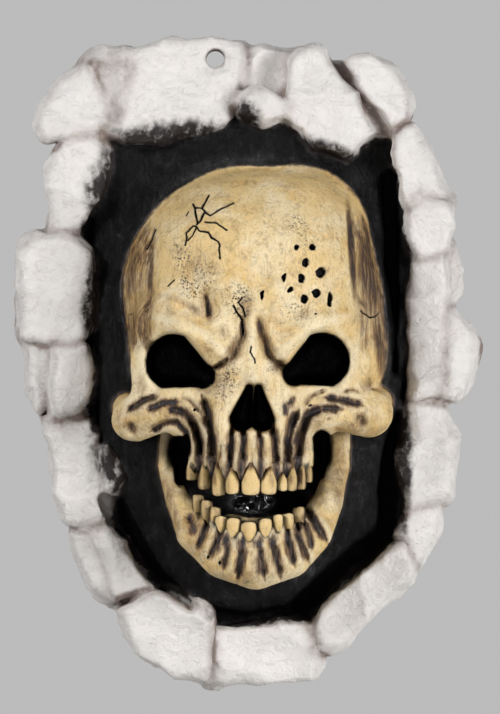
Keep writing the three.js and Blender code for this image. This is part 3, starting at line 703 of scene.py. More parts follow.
    def seams_at(self, points: Array) -> Array:
        """How near points lie to the seam between two blocks, from 0 to 1.

        Args:
            points: The points in millimetres, one a row.

        Returns:
            A value from 0 to 1 for each point.
        """
        squares = PLAQUE_SHEET.squares(points)
        found = np.stack([self.distance_of(block)(*squares) for block in self.blocks])
        nearest = np.partition(found, 1, axis=0)[:2]
        return eased(1 - (nearest[1] - nearest[0]) / self.seam_width)


@dataclass(frozen=True)
class StretchedSkin:
    """The dark skin stretched over the hole. It lifts round the skull and leaves deep channels."""

    hole_corners: Line = (
        (60, 104), (125, 66), (330, 66), (396, 100), (432, 180), (436, 480), (412, 556), (330, 640),
        (200, 665),
        (112, 600), (62, 500), (40, 300),
    )
    corners: Line = (
        (100, 120), (395, 110), (425, 250), (404, 396), (375, 533), (350, 554), (304, 602), (250, 613),
        (203, 606), (165, 576), (128, 512), (102, 440), (88, 300),
    )
    folds: tuple[Roll, ...] = (
        Roll(((398, 402, 24, 4), (366, 432, 34, 5), (342, 470, 40, 7))),
        Roll(((400, 402, 32, 4), (375, 530, 32, 4), (348, 553, 34, 4), (302, 600, 34, 4))),
        Roll(((335, 520, 44, 5), (306, 580, 40, 5), (296, 606, 34, 4))),
        Roll(((206, 604, 32, 4), (250, 610, 34, 5), (300, 600, 32, 4))),
        Roll(((126, 505, 26, 4), (160, 568, 30, 4), (204, 604, 32, 4))),
    )
    channels: tuple[Roll, ...] = (
        Roll(((398, 416, 3), (393, 440, 7), (389, 466, 9), (387, 495, 10), (388, 522, 8), (384, 540, 8),
              (362, 554, 11), (341, 572, 12), (318, 592, 11), (300, 606, 8))),
        Roll(((390, 178, 8), (391, 240, 8), (392, 300, 8), (394, 370, 5))),
        Roll(((106, 500, 6), (128, 540, 7), (156, 580, 7), (190, 606, 6))),
    )
    channel_edge: float = 6
    # Where the skin's folds are painted a lighter grey.
    greyed_patches: tuple[Patch, ...] = patch_table(
        (362, 470, 22, 70, 12), (312, 572, 30, 20, -30), (150, 170, 50, 16, -30, 0.4),
    )
    edge: float = 9
    corner: float = 5
    lift: float = 24
    lift_reach: float = 52
    foot: tuple[float, float, float, float] = (254, 372, 128, 208)

    def floor(self, column: Array, row: Array, depth: Array) -> Array:
        """The distance to the floor of the hole, in squares."""
        sides = Outline(self.hole_corners, self.corner).distance(column, row, depth)
        return smooth_max(sides, depth - HOLE_FLOOR_DEPTH / PLAQUE_SHEET.unit, self.edge / 2)

    def skin(self, column: Array, row: Array, depth: Array) -> Array:
        """The distance to the stretched skin, in squares.

        Args:
            column, row, depth: Where the points lie, in squares.

        Returns:
            The distances, below 0 inside.
        """
        x, y, across, down = self.foot
        beyond = np.hypot((column - x) / across, (row - y) / down) - 1
        lift = self.lift * eased(1 - beyond * across / self.lift_reach)
        sides = Outline(self.corners, self.corner).distance(column, row, depth)
        return smooth_max(sides, depth - SURROUND_DEPTH / PLAQUE_SHEET.unit - lift, self.edge)

    def work(self, clay: Clay) -> None:
        """Lays the skin into the clay.

        Args:
            clay: The clay that is worked.
        """
        reach = Reach.around(self.hole_corners, self.edge)
        clay.add(PLAQUE_SHEET, reach, self.floor, self.edge)
        clay.add(PLAQUE_SHEET, reach, self.skin, self.edge)
        for fold in self.folds:
            clay.add(PLAQUE_SHEET, fold.reach(self.edge * 2), fold.distance, self.edge)
        for channel in self.channels:

            def trench(column: Array, row: Array, depth: Array, way: Roll = channel) -> Array:
                """The distance to the channel, which is cut down to the floor, in squares."""
                below = HOLE_FLOOR_DEPTH / PLAQUE_SHEET.unit + self.channel_edge - depth
                return smooth_max(way.distance(column, row, depth), below, self.channel_edge)

            clay.cut(PLAQUE_SHEET, channel.reach(self.edge * 2), trench, self.channel_edge)

    def greyed_at(self, points: Array) -> Array:
        """How grey the skin's lower right folds are at points, from 0 to 1."""
        column, row, _ = PLAQUE_SHEET.squares(points)
        return strongest(self.greyed_patches, column, row)

    def channel_at(self, points: Array) -> Array:
        """How black the channels are at points, from 0 to 1: black paint sprayed in, with painted shade that
        deepens towards their floor.

        Args:
            points: The points in millimetres, one a row.

        Returns:
            A value from 0 to 1 for each point.
        """
        column, row, depth = PLAQUE_SHEET.squares(points)
        found = np.minimum.reduce([way.distance(column, row, depth) for way in self.channels])
        return eased(1 - found / 9) * eased((RIM_DEPTH / PLAQUE_SHEET.unit - 8 - depth) / 16)

    def sheet_at(self, points: Array) -> Array:
        """How far points lie outside the lifted skin, in millimetres, its channels left out.

        Args:
            points: The points in millimetres, one a row.

        Returns:
            The distances, below 0 inside.
        """
        squares = PLAQUE_SHEET.squares(points)
        found = [self.skin(*squares), *(fold.distance(*squares) for fold in self.folds)]
        return np.minimum.reduce(found) * PLAQUE_SHEET.unit

    def distance_at(self, points: Array) -> Array:
        """How far points lie outside the skin, in millimetres."""
        floor = self.floor(*PLAQUE_SHEET.squares(points)) * PLAQUE_SHEET.unit
        return np.minimum(floor, self.sheet_at(points))


@dataclass(frozen=True)
class Groove:
    """A soft groove along points of the skull's sheet."""

    line: Line
    half: float = 5
    cut: float = 4
    ink: float = 1

    def nearness(self, column: Array, row: Array, spread: float = 1) -> Array:
        """How near points lie to the groove's middle, from 0 at its edge to 1. It runs out at its ends.

        Args:
            column, row: Where the points lie, in squares.
            spread: How much wider the groove counts.

        Returns:
            A value from 0 to 1 for each point.
        """
        half = self.half * spread
        start = self.between(self.line[0], self.line[1])
        end = self.between(self.line[-1], self.line[-2])
        middle = ((*point, 0) for point in self.line[1:-1])
        tips = [(*tip, -0.75 * half) for tip in (self.line[0], self.line[-1])]
        points = (tips[0], (*start, 0), *middle, (*end, 0), tips[1])
        return np.clip(1 - Roll(points).distance(column, row, column) / half, 0, 1)

    def between(self, end: Point, towards: Point) -> Point:
        """The point where the groove has its full width, near one of its ends.

        Args:
            end: The end.
            towards: The point that comes next.

        Returns:
            Its column and row.
        """
        length = math.hypot(towards[0] - end[0], towards[1] - end[1])
        share = min(2 * self.half / length, 0.46)
        return end[0] + share * (towards[0] - end[0]), end[1] + share * (towards[1] - end[1])


def groove_table(*rows: tuple[float, ...]) -> tuple[Groove, ...]:
    """Grooves, each from its half width, its cut, its ink and the columns and rows of its points."""
    return tuple(Groove(tuple(zip(row[3::2], row[4::2])), *row[:3]) for row in rows)


@dataclass(frozen=True)
class Crack:
    """A crack along points of the skull's sheet, as wide and deep as squares say."""

    line: Line
    half: float = 1.25
    cut: float = 2.2


@dataclass(frozen=True)
class Pit:
    """A ragged pit in the bone, with its radii to the right and down, and its turn in degrees."""

    at: Point
    radii: Point
    cut: float = 4.5
    turn: float = 0


@dataclass(frozen=True)
class Skull:
    """The skull: its masses, brows, jaws, pits and grooves, and the marks in its bone."""

    cranium: tuple[Mass, ...] = (
        Mass((250, 300, 8), (131, 122, 126), 9, 2.2), Mass((298, 238, 12), (67, 70, 104), 24),
        Mass((244, 248, 26), (84, 76, 100), 30), Mass((362, 334, 4), (29, 76, 66), 20),
        Mass((252, 286, 66), (102, 84, 74), 16, 2.6), Mass((247, 362, 70), (114, 56, 64), 14, 2.3, True),
    )
    temple_hollows: tuple[Mass, ...] = (
        Mass((104, 318, 104), (36, 84, 66), 16), Mass((405, 314, 104), (42, 88, 66), 16),
    )
    face: tuple[Mass, ...] = (
        Mass((254, 402, 82), (66, 62, 56), 16, 2.2), Mass((253, 438, 86), (60, 44, 58), 16),
        Mass((255, 536, 84), (54, 26, 52), 12),
    )
    rolls: tuple[Roll, ...] = (
        Roll(((152, 322, 88, 20), (186, 326, 116, 22), (226, 352, 124, 19)), 18),
        Roll(((352, 318, 88, 20), (318, 324, 116, 22), (284, 350, 124, 19)), 18),
        Roll(((146, 332, 92, 13), (141, 366, 88, 10), (146, 396, 92, 14)), 10),
        Roll(((356, 330, 92, 13), (359, 364, 88, 11), (352, 394, 92, 14)), 10),
        Roll(((254, 322, 112, 14), (254, 350, 132, 13), (254, 374, 141, 8)), 14),
        Roll(((236, 372, 130, 9), (220, 400, 128, 12), (222, 436, 128, 15)), 10),
        Roll(((272, 372, 130, 9), (286, 400, 128, 12), (283, 436, 128, 15)), 10),
        Roll(((206, 408, 114, 18), (166, 410, 104, 20), (135, 419, 86, 22)), 12),
        Roll(((294, 408, 114, 18), (336, 410, 104, 20), (368, 414, 86, 23)), 12),
        Roll(((180, 424, 104, 12), (194, 446, 104, 12), (200, 466, 100, 9)), 8),
        Roll(((324, 422, 104, 12), (310, 446, 104, 12), (302, 466, 100, 9)), 8),
        Roll(((130, 417, 84, 16), (125, 402, 20, 13)), 8),
        Roll(((374, 410, 84, 16), (380, 398, 20, 13)), 8),
        Roll((
            (196, 456, 94, 9), (214, 460, 110, 11), (236, 462, 124, 11), (254, 460, 127, 11),
            (272, 464, 124, 11),
            (293, 461, 110, 11), (309, 457, 92, 9)), 8, True),
        Roll((
            (168, 420, 46, 7), (166, 466, 60, 8), (178, 502, 82, 12), (196, 532, 102, 19),
            (224, 554, 116, 23),
            (255, 561, 120, 26), (288, 552, 116, 24), (311, 532, 102, 20), (327, 502, 82, 15),
            (338, 466, 60, 11),
            (340, 420, 46, 10)), 8, True),
    )
    fine_rolls: tuple[Roll, ...] = (
        Roll(((148, 316, 102, 8), (182, 328, 135, 9), (212, 342, 140, 9), (233, 363, 139, 7)), 7),
        Roll(((350, 314, 102, 8), (320, 321, 135, 9), (294, 335, 140, 9), (274, 361, 139, 7)), 7),
        Roll(((254, 425, 124, 2), (254, 434, 133, 5), (253, 456, 134, 5)), 4),
        Roll(((222, 428, 132, 4), (224, 448, 134, 4), (226, 466, 130, 3)), 4),
        Roll(((237, 436, 135, 3), (237, 452, 137, 3), (235, 466, 134, 3)), 4),
        Roll(((268, 434, 135, 3), (270, 452, 136, 3), (274, 468, 130, 3)), 4),
        Roll(((283, 424, 133, 4), (282, 448, 132, 4), (282, 466, 126, 3)), 4),
        Roll(((189, 402, 112, 4), (202, 420, 118, 4), (206, 442, 116, 4), (205, 464, 110, 3)), 4),
        Roll(((318, 401, 112, 4), (303, 412, 118, 4), (294, 436, 120, 4), (295, 460, 112, 3)), 4),
    )
    eyes: tuple[Roll, ...] = (
        Roll(((173.5, 362, 30), (203, 375.5, 14.5))), Roll(((321, 360.5, 30), (294, 373, 14.5))),
    )
    nose: tuple[Roll, ...] = (
        Roll(((249, 388, 6), (241.5, 418, 14.5))), Roll(((258, 388, 6), (262, 418.5, 14.5))),
    )
    mouth: tuple[Roll, ...] = (
        Roll(((207, 492, 7), (228, 504, 11), (256, 506, 13), (284, 504, 12), (303, 494, 7))),
    )
    jaw_gaps: tuple[Roll, ...] = (
        Roll(((180, 444, 11), (180, 480, 8))), Roll(((321, 438, 11), (319, 474, 8))),
    )
    eye_bottom: float = 52
    nose_bottom: float = 84
    mouth_bottom: float = 62
    jaw_gap_bottom: float = 34
    pit_edge: float = 5
    pit_taper: float = 0.06
    front: float = 60
    grooves: tuple[Groove, ...] = groove_table(
        (6, 6, 1, 231, 422, 231, 450, 225.5, 486), (5.5, 5.5, 1, 244, 424, 243, 452, 241, 488),
        (5.5, 5, 1, 258, 426, 260, 452, 261, 486), (6, 6, 1, 273, 420, 275, 450, 276.5, 486),
        (6.5, 7.5, 1, 202, 392, 208.7, 414, 213, 436, 211.5, 488),
        (6.5, 7.5, 1, 163, 407, 184.7, 411, 195, 425, 200, 442, 199, 482),
        (5.5, 5, 0.85, 148, 433, 165, 422, 177, 421, 187, 432, 190, 462),
        (5.5, 5, 0.85, 124, 414, 143, 400, 161, 395), (6, 5, 0.95, 144, 411, 163, 403, 183, 401),
        (6.5, 7.5, 1, 299, 406, 289.5, 426, 286.4, 446, 286, 486),
        (6.5, 7.5, 1, 346, 409, 322, 407.6, 308, 413, 299, 434, 296, 482),
        (6, 5, 0.95, 318, 396, 344, 400, 366, 406), (8, 5, 0.75, 130, 424, 132, 427, 133, 430),
        (9, 5.5, 0.75, 358, 415, 360, 419, 361, 423), (9, 6, 0.2, 239, 312, 243, 334, 234, 354, 212, 369),
        (9, 6, 0.2, 257, 314, 262, 332, 267, 352, 286, 371), (6, 6, 1, 210, 518, 203, 534, 196, 551),
        (6, 6, 1, 222, 522, 216, 543, 208, 559), (6, 6, 1, 228, 526, 228, 548, 223, 572),
        (6.5, 6.5, 1, 242, 528, 241, 554, 237, 582), (6.5, 6.5, 1, 257, 528, 261, 556, 264, 580),
        (6.5, 6.5, 1, 271, 526, 275, 552, 280, 579), (6, 6, 1, 283, 522, 289, 546, 294, 567),
        (6, 6, 1, 293, 518, 300, 540, 309, 564), (6, 6, 1, 304, 504, 314, 522, 328, 543),
        (4.5, 4.5, 1, 302, 514, 308, 534, 313, 552), (8, 5, 0.9, 187, 512, 193, 523, 194, 534),
    )
    fine_grooves: tuple[Groove, ...] = groove_table(
        (3, 1.6, 0.6, 193, 405, 207.1, 418, 213.3, 437, 213.3, 458),
        (4, 3, 0.6, 176, 396, 190, 400, 202, 412, 207, 430), (4, 2, 0.6, 202, 398, 211, 411),
        (4.5, 3, 0.8, 296, 393, 286, 405, 285, 418), (3, 1.6, 0.7, 321, 419.5, 334, 416),
        (4, 3, 0.6, 328, 388, 310, 396, 302, 408), (4, 2, 0.6, 340, 393, 350, 389, 362, 393),
        (3.5, 2.5, 0.6, 221, 438, 221, 456, 219, 472), (3.5, 2.5, 0.6, 282, 434, 283, 452, 284, 470),
        (3, 2, 0.5, 252, 444, 251, 466), (3, 2, 0.4, 235, 540, 234, 568),
        (3, 2, 0.35, 250, 544, 251, 572), (3, 2, 0.4, 266, 542, 270, 572),
        (12, 10, 0, 205, 288, 209, 304, 210, 322), (4.5, 2, 0.85, 205, 292, 208, 304, 210, 324),
        (3.4, 2, 0.55, 243, 318, 245, 334, 241, 348), (4, 2, 0.6, 259, 318, 262, 332, 266, 346),
        (4, 2, 0.6, 230, 356, 224, 362, 212, 369), (3.4, 2, 0.6, 270, 358, 276, 363, 286, 369),
        (9, 4, 0, 172, 300, 192, 314, 210, 322), (5, 1.6, 0.3, 218, 386, 206, 378, 190, 384),
    )
    temples: tuple[Outline, ...] = (
        Outline(((112, 236), (138, 212), (156, 226), (157, 300), (151, 348), (116, 348)), 4),
        Outline(((350, 218), (376, 206), (396, 250), (394, 352), (360, 350), (354, 300)), 4),
    )
    temple_cut: float = 5
    temple_edge: float = 13
    cracks: tuple[Crack, ...] = (
        Crack(((208.4, 195.8), (201.4, 208.8))),
        Crack(((192.7, 204.4), (194.3, 207.7), (195.9, 214.2), (197.6, 224))),
        Crack((
            (194.3, 207.7), (201.4, 208.8), (205.7, 213.1), (210, 216.4), (220.3, 209.9),
            (233.3, 203.9)), 1.1),
        Crack(((204.1, 213.7), (200.8, 220.7), (197, 225))),
        Crack(((205.2, 222.9), (217.1, 224), (226.8, 231)), 1.1),
        Crack(((196.5, 227.2), (199.7, 231.6), (208.4, 233.2), (211.7, 238.1), (218.2, 242.4), (219.8, 246.7),
               (219.3, 253.2), (220.3, 259.2)), 1.15),
        Crack(((196.5, 227.2), (193.2, 226.7), (186.2, 233.7), (186.7, 238.1), (185.6, 245.6)), 1.15),
        Crack(((196.5, 228.3), (192.2, 237), (187.8, 241.3)), 1),
        Crack(((188.9, 212), (186.7, 216.4)), 0.8, 1.6),
        Crack(((155.3, 229.4), (153.1, 235.9), (147.2, 248.9)), 1, 1.6),
        Crack(((174.8, 280.3), (168.3, 286.8)), 0.8, 1.2),
        Crack(((369.9, 317.2), (374, 317), (379.6, 311.8)), 1, 2),
        Crack(((360, 311), (369.9, 317.2)), 1, 1.4),
        Crack(((124, 323), (128, 319), (126, 315), (131, 314)), 1, 1.8),
        Crack(((251.3, 346.3), (250.3, 352), (253.7, 357.7), (254.6, 362.5)), 1, 1.8),
        Crack(((233, 306), (238, 314), (242, 320), (243, 334)), 1.2, 1.5),
        Crack(((239, 303), (243, 309), (245, 317)), 1.1, 1.3), Crack(((242, 298), (238, 303)), 1, 1.2),
    )
    pits: tuple[Pit, ...] = (
        Pit((295.6, 247.8), (3, 4.2), turn=15), Pit((311.9, 247.8), (4, 3.8)),
        Pit((304.8, 263.5), (4.4, 4.6)), Pit((320, 272.7), (5.8, 6.2)),
        Pit((283.7, 277.6), (2.3, 4.8), turn=10), Pit((301, 278.7), (3.4, 4.8), turn=-20),
        Pit((289.6, 290.1), (3.6, 2.8), turn=-30), Pit((303.7, 299.3), (4.6, 4.8)),
        Pit((315.6, 293.3), (4.8, 5.2)), Pit((329.2, 299.3), (3.4, 8), turn=8),
        Pit((315.6, 313.7), (1.8, 1.5), 2.5), Pit((262, 295.5), (2.2, 5.2), turn=18),
        Pit((309, 404.4), (2.4, 2.2), 3), Pit((194.8, 409.4), (2, 1.8), 2.5),
        Pit((220, 560.5), (2, 3), 2.4, 30), Pit((208, 555), (1.4, 2), 1.8, 40),
    )
    pore_patches: tuple[Patch, ...] = patch_table(
        (182, 258, 9, 22, -14), (191, 284, 14, 17, -20, 1), (200, 278, 20, 24, 0, 0.6),
        (238, 298, 17, 16, 0, 0.9), (240, 312, 10, 12, 0, 0.9), (226, 382, 12, 24, 20, 0.9),
        (216, 372, 10, 14, 40, 0.7), (297, 226, 14, 9, 40, 0.9), (296, 310, 18, 14, 0, 0.5),
        (306, 240, 8, 10, 0, 0.6), (272, 366, 9, 9, 0, 0.5), (206, 556, 6, 7, 0, 0.8),
        (247, 580, 9, 5, 0, 0.8),
    )
    # Painted shade under and above the brows, round the glabella, nose, cheeks and jaw; at the temples it is
    # grey-brown hatched paint too.
    shade_patches: tuple[Patch, ...] = patch_table(
        (174, 299, 22, 5, 16, 0.3), (194, 309, 14, 6, 34, 0.45), (224, 332, 12, 6, 56, 0.4),
        (300, 314, 14, 6, -34, 0.35), (351, 250, 4.5, 60, -4, 0.95), (370, 270, 17, 66, -5, 0.8),
        (383, 340, 9, 50, 0, 0.8), (151, 268, 4, 44, 2, 0.7), (130, 262, 14, 56, 6, 0.66),
        (142, 390, 6, 26, 0, 0.4), (196, 430, 24, 38, 0, 0.3), (303, 432, 22, 36, 0, 0.3),
        (254, 552, 66, 20, 0, 0.2), (252, 452, 52, 20, 0, 0.22), (339, 474, 9, 52, 3, 0.42),
        (170, 505, 10, 46, -14, 0.45), (196, 545, 16, 16, 0, 0.35), (136, 232, 18, 20, 30, 0.6),
        (366, 240, 14, 34, -10, 0.5), (132, 418, 28, 16, -10, 0.3), (366, 414, 26, 16, 0, 0.25),
        (250, 574, 60, 12, 0, 0.3), (209, 309, 4.5, 13, -8, 0.95), (205, 304, 10, 18, -8, 0.35),
        (242, 328, 4, 16, 4, 0.8), (234, 352, 4.5, 14, 24, 0.7), (220, 366, 10, 4, -25, 0.75),
        (259, 328, 3.5, 13, -10, 0.85), (266, 350, 4.5, 14, -16, 0.75), (280, 367, 9, 4, 30, 0.7),
        (200, 268, 22, 26, 0, 0.3), (246, 306, 10, 20, 10, 0.45), (234, 350, 9, 20, 24, 0.6),
        (266, 344, 8, 20, -24, 0.62), (222, 384, 14, 20, 20, 0.4), (278, 366, 12, 10, 30, 0.5),
        (204, 388, 14, 10, 30, 0.35), (170, 412, 30, 10, 0, 0.3), (334, 402, 28, 8, 6, 0.35),
        (196, 524, 16, 14, 0, 0.5), (250, 452, 42, 16, 0, 0.2), (372, 430, 14, 10, 0, 0.3),
        (352, 428, 26, 9, -6, 0.4), (312, 424, 18, 14, 0, 0.3), (366, 384, 10, 10, 0, 0.45),
    )
    # Painted highlights on the brows, nose, cheeks and jaw, laid as cream dry-brush.
    cream_patches: tuple[Patch, ...] = patch_table(
        (168, 320, 20, 5, 14), (198, 331, 18, 6, 26), (221, 350, 15, 6, 46), (336, 320, 16, 6, -14),
        (308, 333, 20, 7, -28), (285, 350, 14, 7, -50), (252, 350, 4, 22), (254, 379, 8, 4),
        (228, 414, 4, 16, 8, 0.7), (281, 414, 4, 16, -8, 0.7), (254, 438, 4, 14, 0, 0.8),
        (158, 436, 12, 5, -30, 0.8), (330, 424, 14, 4, -10, 0.8), (132, 408, 12, 6, -30, 0.6),
        (180, 396, 18, 5, 10, 0.6), (318, 390, 18, 5, -10, 0.6), (228, 312, 8, 12, 0, 0.6),
        (278, 310, 14, 12, 0, 0.5),
    )
    black_patches: tuple[Patch, ...] = patch_table(
        (178, 470, 13, 44, -8), (322, 468, 11, 44, 6), (254, 504, 66, 22, 0),
    )
    tongue: Patch = Patch((252, 502), (24, 12))

    def pit_shafts(self) -> tuple[tuple[Roll, float, float], ...]:
        """Each hollow with its bottom's depth and the rounding of its edge, in squares."""
        return (
            *((roll, self.eye_bottom, self.pit_edge) for roll in self.eyes),
            *((roll, self.nose_bottom, self.pit_edge / 2) for roll in self.nose),
            *((roll, self.mouth_bottom, self.pit_edge / 2) for roll in self.mouth),
            *((roll, self.jaw_gap_bottom, self.pit_edge) for roll in self.jaw_gaps),
        )

    def narrowing(self, depth: Array) -> Array:
        """How much narrower a hollow is at a depth than at its mouth, in squares."""
        return self.pit_taper * np.maximum(150 - depth, 0)

    def work(self, clay: Clay) -> None:
        """Models the skull in the clay.

        Args:
            clay: The clay that is worked.
        """
        for mass in self.cranium:
            clay.add(SKULL_SHEET, mass.reach(), mass.distance, mass.blend)
        for mass in self.temple_hollows:
            clay.cut(SKULL_SHEET, mass.reach(), mass.distance, mass.blend)
        for shape in (*self.face, *self.rolls):
            clay.add(SKULL_SHEET, shape.reach(), shape.distance, shape.blend)
        for roll in self.fine_rolls:
            clay.add(SKULL_SHEET, roll.reach(), roll.distance, roll.blend)
        for shaft, bottom, edge in self.pit_shafts():

            def hollow(column: Array, row: Array, depth: Array, shaft: Roll = shaft,
                       bottom: float = bottom) -> Array:
                """The distance to the hollow, in squares."""
                walls = shaft.distance(column, row, depth) + self.narrowing(depth)
                return smooth_max(walls, bottom - depth, 12)

            clay.cut(SKULL_SHEET, shaft.reach(edge), hollow, edge)
        for groove in (*self.grooves, *self.fine_grooves):
            self._cut_groove(clay, groove)
        for side in self.temples:

            def shave(column: Array, row: Array, depth: Array) -> Array:
                """How much the temples are cut back, in squares."""
                return self.temple_cut * self.temples_at(column, row) * eased((depth - 55) / 35)

            reach = Reach.around(side.corners, 10)
            clay.work(SKULL_SHEET, reach, shave, lambda there, deeper, _: there + deeper)

    def temples_at(self, column: Array, row: Array) -> Array:
        """How much of the flattened temples there is at points, from 0 to 1."""
        found = np.minimum.reduce([side.distance(column, row, column) for side in self.temples])
        return eased(0.5 - found / self.temple_edge)

    def _cut_groove(self, clay: Clay, groove: Groove) -> None:
        """Presses one groove into the front of the skull.

        Args:
            clay: The clay that is worked.
            groove: The groove.
        """
        reach = Reach.around(groove.line, groove.half)
        shown = Reach((*reach.low[:2], self.front), (*reach.high[:2], math.inf))

        def press(column: Array, row: Array, depth: Array) -> Array:
            """How deep the groove goes, in squares."""
            pressed = groove.cut * eased((depth - self.front) / 20)
            return pressed * eased(groove.nearness(column, row))

        clay.work(SKULL_SHEET, shown, press, lambda there, deeper, _: there + deeper)

    def bodies(self) -> tuple[Mass | Roll, ...]:
        """The masses and rolls that the skull is built up from."""
        return *self.cranium, *self.face, *self.rolls

    def distance_at(self, points: Array) -> Array:
        """How far points lie outside the skull, in millimetres, its hollows left filled."""
        squares = SKULL_SHEET.squares(points)
        return np.minimum.reduce([shape.distance(*squares) for shape in self.bodies()]) * SKULL_SHEET.unit

    def hollows_at(self, points: Array) -> Array:
        """How far points lie inside a hollow's walls, in squares: above 0 is inside."""
        squares = SKULL_SHEET.squares(points)
        return np.maximum.reduce([-shaft.distance(*squares) for shaft, _, _ in self.pit_shafts()])

    def marks_at(self, points: Array, widened: float = 0) -> tuple[Array, Array]:
        """The cracks and pits at points of the skull's front.

        Args:
            points: The points in millimetres, one a row.
            widened: How much wider than it is each mark counts, in squares.

        Returns:
            How deep the marks go there, in millimetres, and how black they are, from 0 to 1.
        """
        column, row, depth = SKULL_SHEET.squares(points)
        shown = eased((depth - self.front + 20) / 20)
        wobble = [
            Grain((3.4, 30, 3.4), seed).at(points) + 0.6 * Grain((1.6, 30, 1.6), seed + 2).at(points)
            for seed in (11, 12)
        ]
        deep, black = np.zeros(len(points)), np.zeros(len(points))
        for crack in self.cracks:
            line = Roll(tuple((x, y, 0) for x, y in crack.line))
            away = line.distance(column + 0.5 * wobble[0], row + 0.5 * wobble[1], depth)
            share = away / (crack.half + widened)
            deep = np.maximum(deep, crack.cut * eased(1 - share))
            black = np.maximum(black, eased((1.3 - share) / 0.8))
        for pit in self.pits:
            turn = math.radians(pit.turn)
            dx, dy = column + wobble[0] - pit.at[0], row + wobble[1] - pit.at[1]
            across = (dx * math.cos(turn) + dy * math.sin(turn)) / (pit.radii[0] + widened)
            down = (dy * math.cos(turn) - dx * math.sin(turn)) / (pit.radii[1] + widened)
            away = np.hypot(across, down)
            deep = np.maximum(deep, pit.cut * eased((1.0 - away) / 0.4))
            black = np.maximum(black, eased((1.02 - away) / 0.25))
        return deep * shown * SKULL_SHEET.unit, black * shown

    def shares_at(self, points: Array, found: Sequence[Patch]) -> Array:
        """How much of the patches there is at points of the skull's front, from 0 to 1."""
        column, row, depth = SKULL_SHEET.squares(points)
        return strongest(found, column, row) * eased((depth - self.front + 30) / 20)

    def blacked_at(self, points: Array) -> Array:
        """How black the far side of the jaws' openings is at points, from 0 to 1."""
        column, row, depth = SKULL_SHEET.squares(points)
        return eased(1.6 * strongest(self.black_patches, column, row)) * eased((76 - depth) / 12)

    def wet_at(self, points: Array) -> Array:
        """How wet the inside of the mouth is at points, from 0 to 1."""
        column, row, depth = SKULL_SHEET.squares(points)
        return eased(1.5 * self.tongue.share(column, row)) * eased((84 - depth) / 10)

    def grooves_at(self, points: Array) -> Array:
        """How much groove paint lies at points of the skull's front, from 0 to 1.

        Args:
            points: The points in millimetres, one a row.

        Returns:
            A value from 0 to 1 for each point.
        """
        column, row, depth = SKULL_SHEET.squares(points)
        column = column + 1.8 * Grain((5, 60, 6), 41).at(points)
        grooves = (*self.grooves, *self.fine_grooves)
        found = [groove.ink * groove.nearness(column, row, 1.5) for groove in grooves]
        strength = 1 + 0.35 * Grain((3, 60, 12), 42).at(points)
        return strength * np.maximum.reduce(found) ** 1.4 * eased((depth - self.front + 10) / 20)


class Jaw(Enum):
    """Which jaw a tooth stands in."""

    UPPER = "upper"
    LOWER = "lower"


@dataclass(frozen=True)
class Tooth:
    """A tooth: its middle, the rows of its gum line and biting edge, and half its width, in squares."""

    middle: float
    gum: float
    edge: float
    half: float
    jaw: Jaw

    @staticmethod
    def row(jaw: Jaw, rows: Line) -> "tuple[Tooth, ...]":
        """The teeth of a jaw, each from its middle, gum, edge and half width."""
        return tuple(Tooth(*numbers, jaw) for numbers in rows)


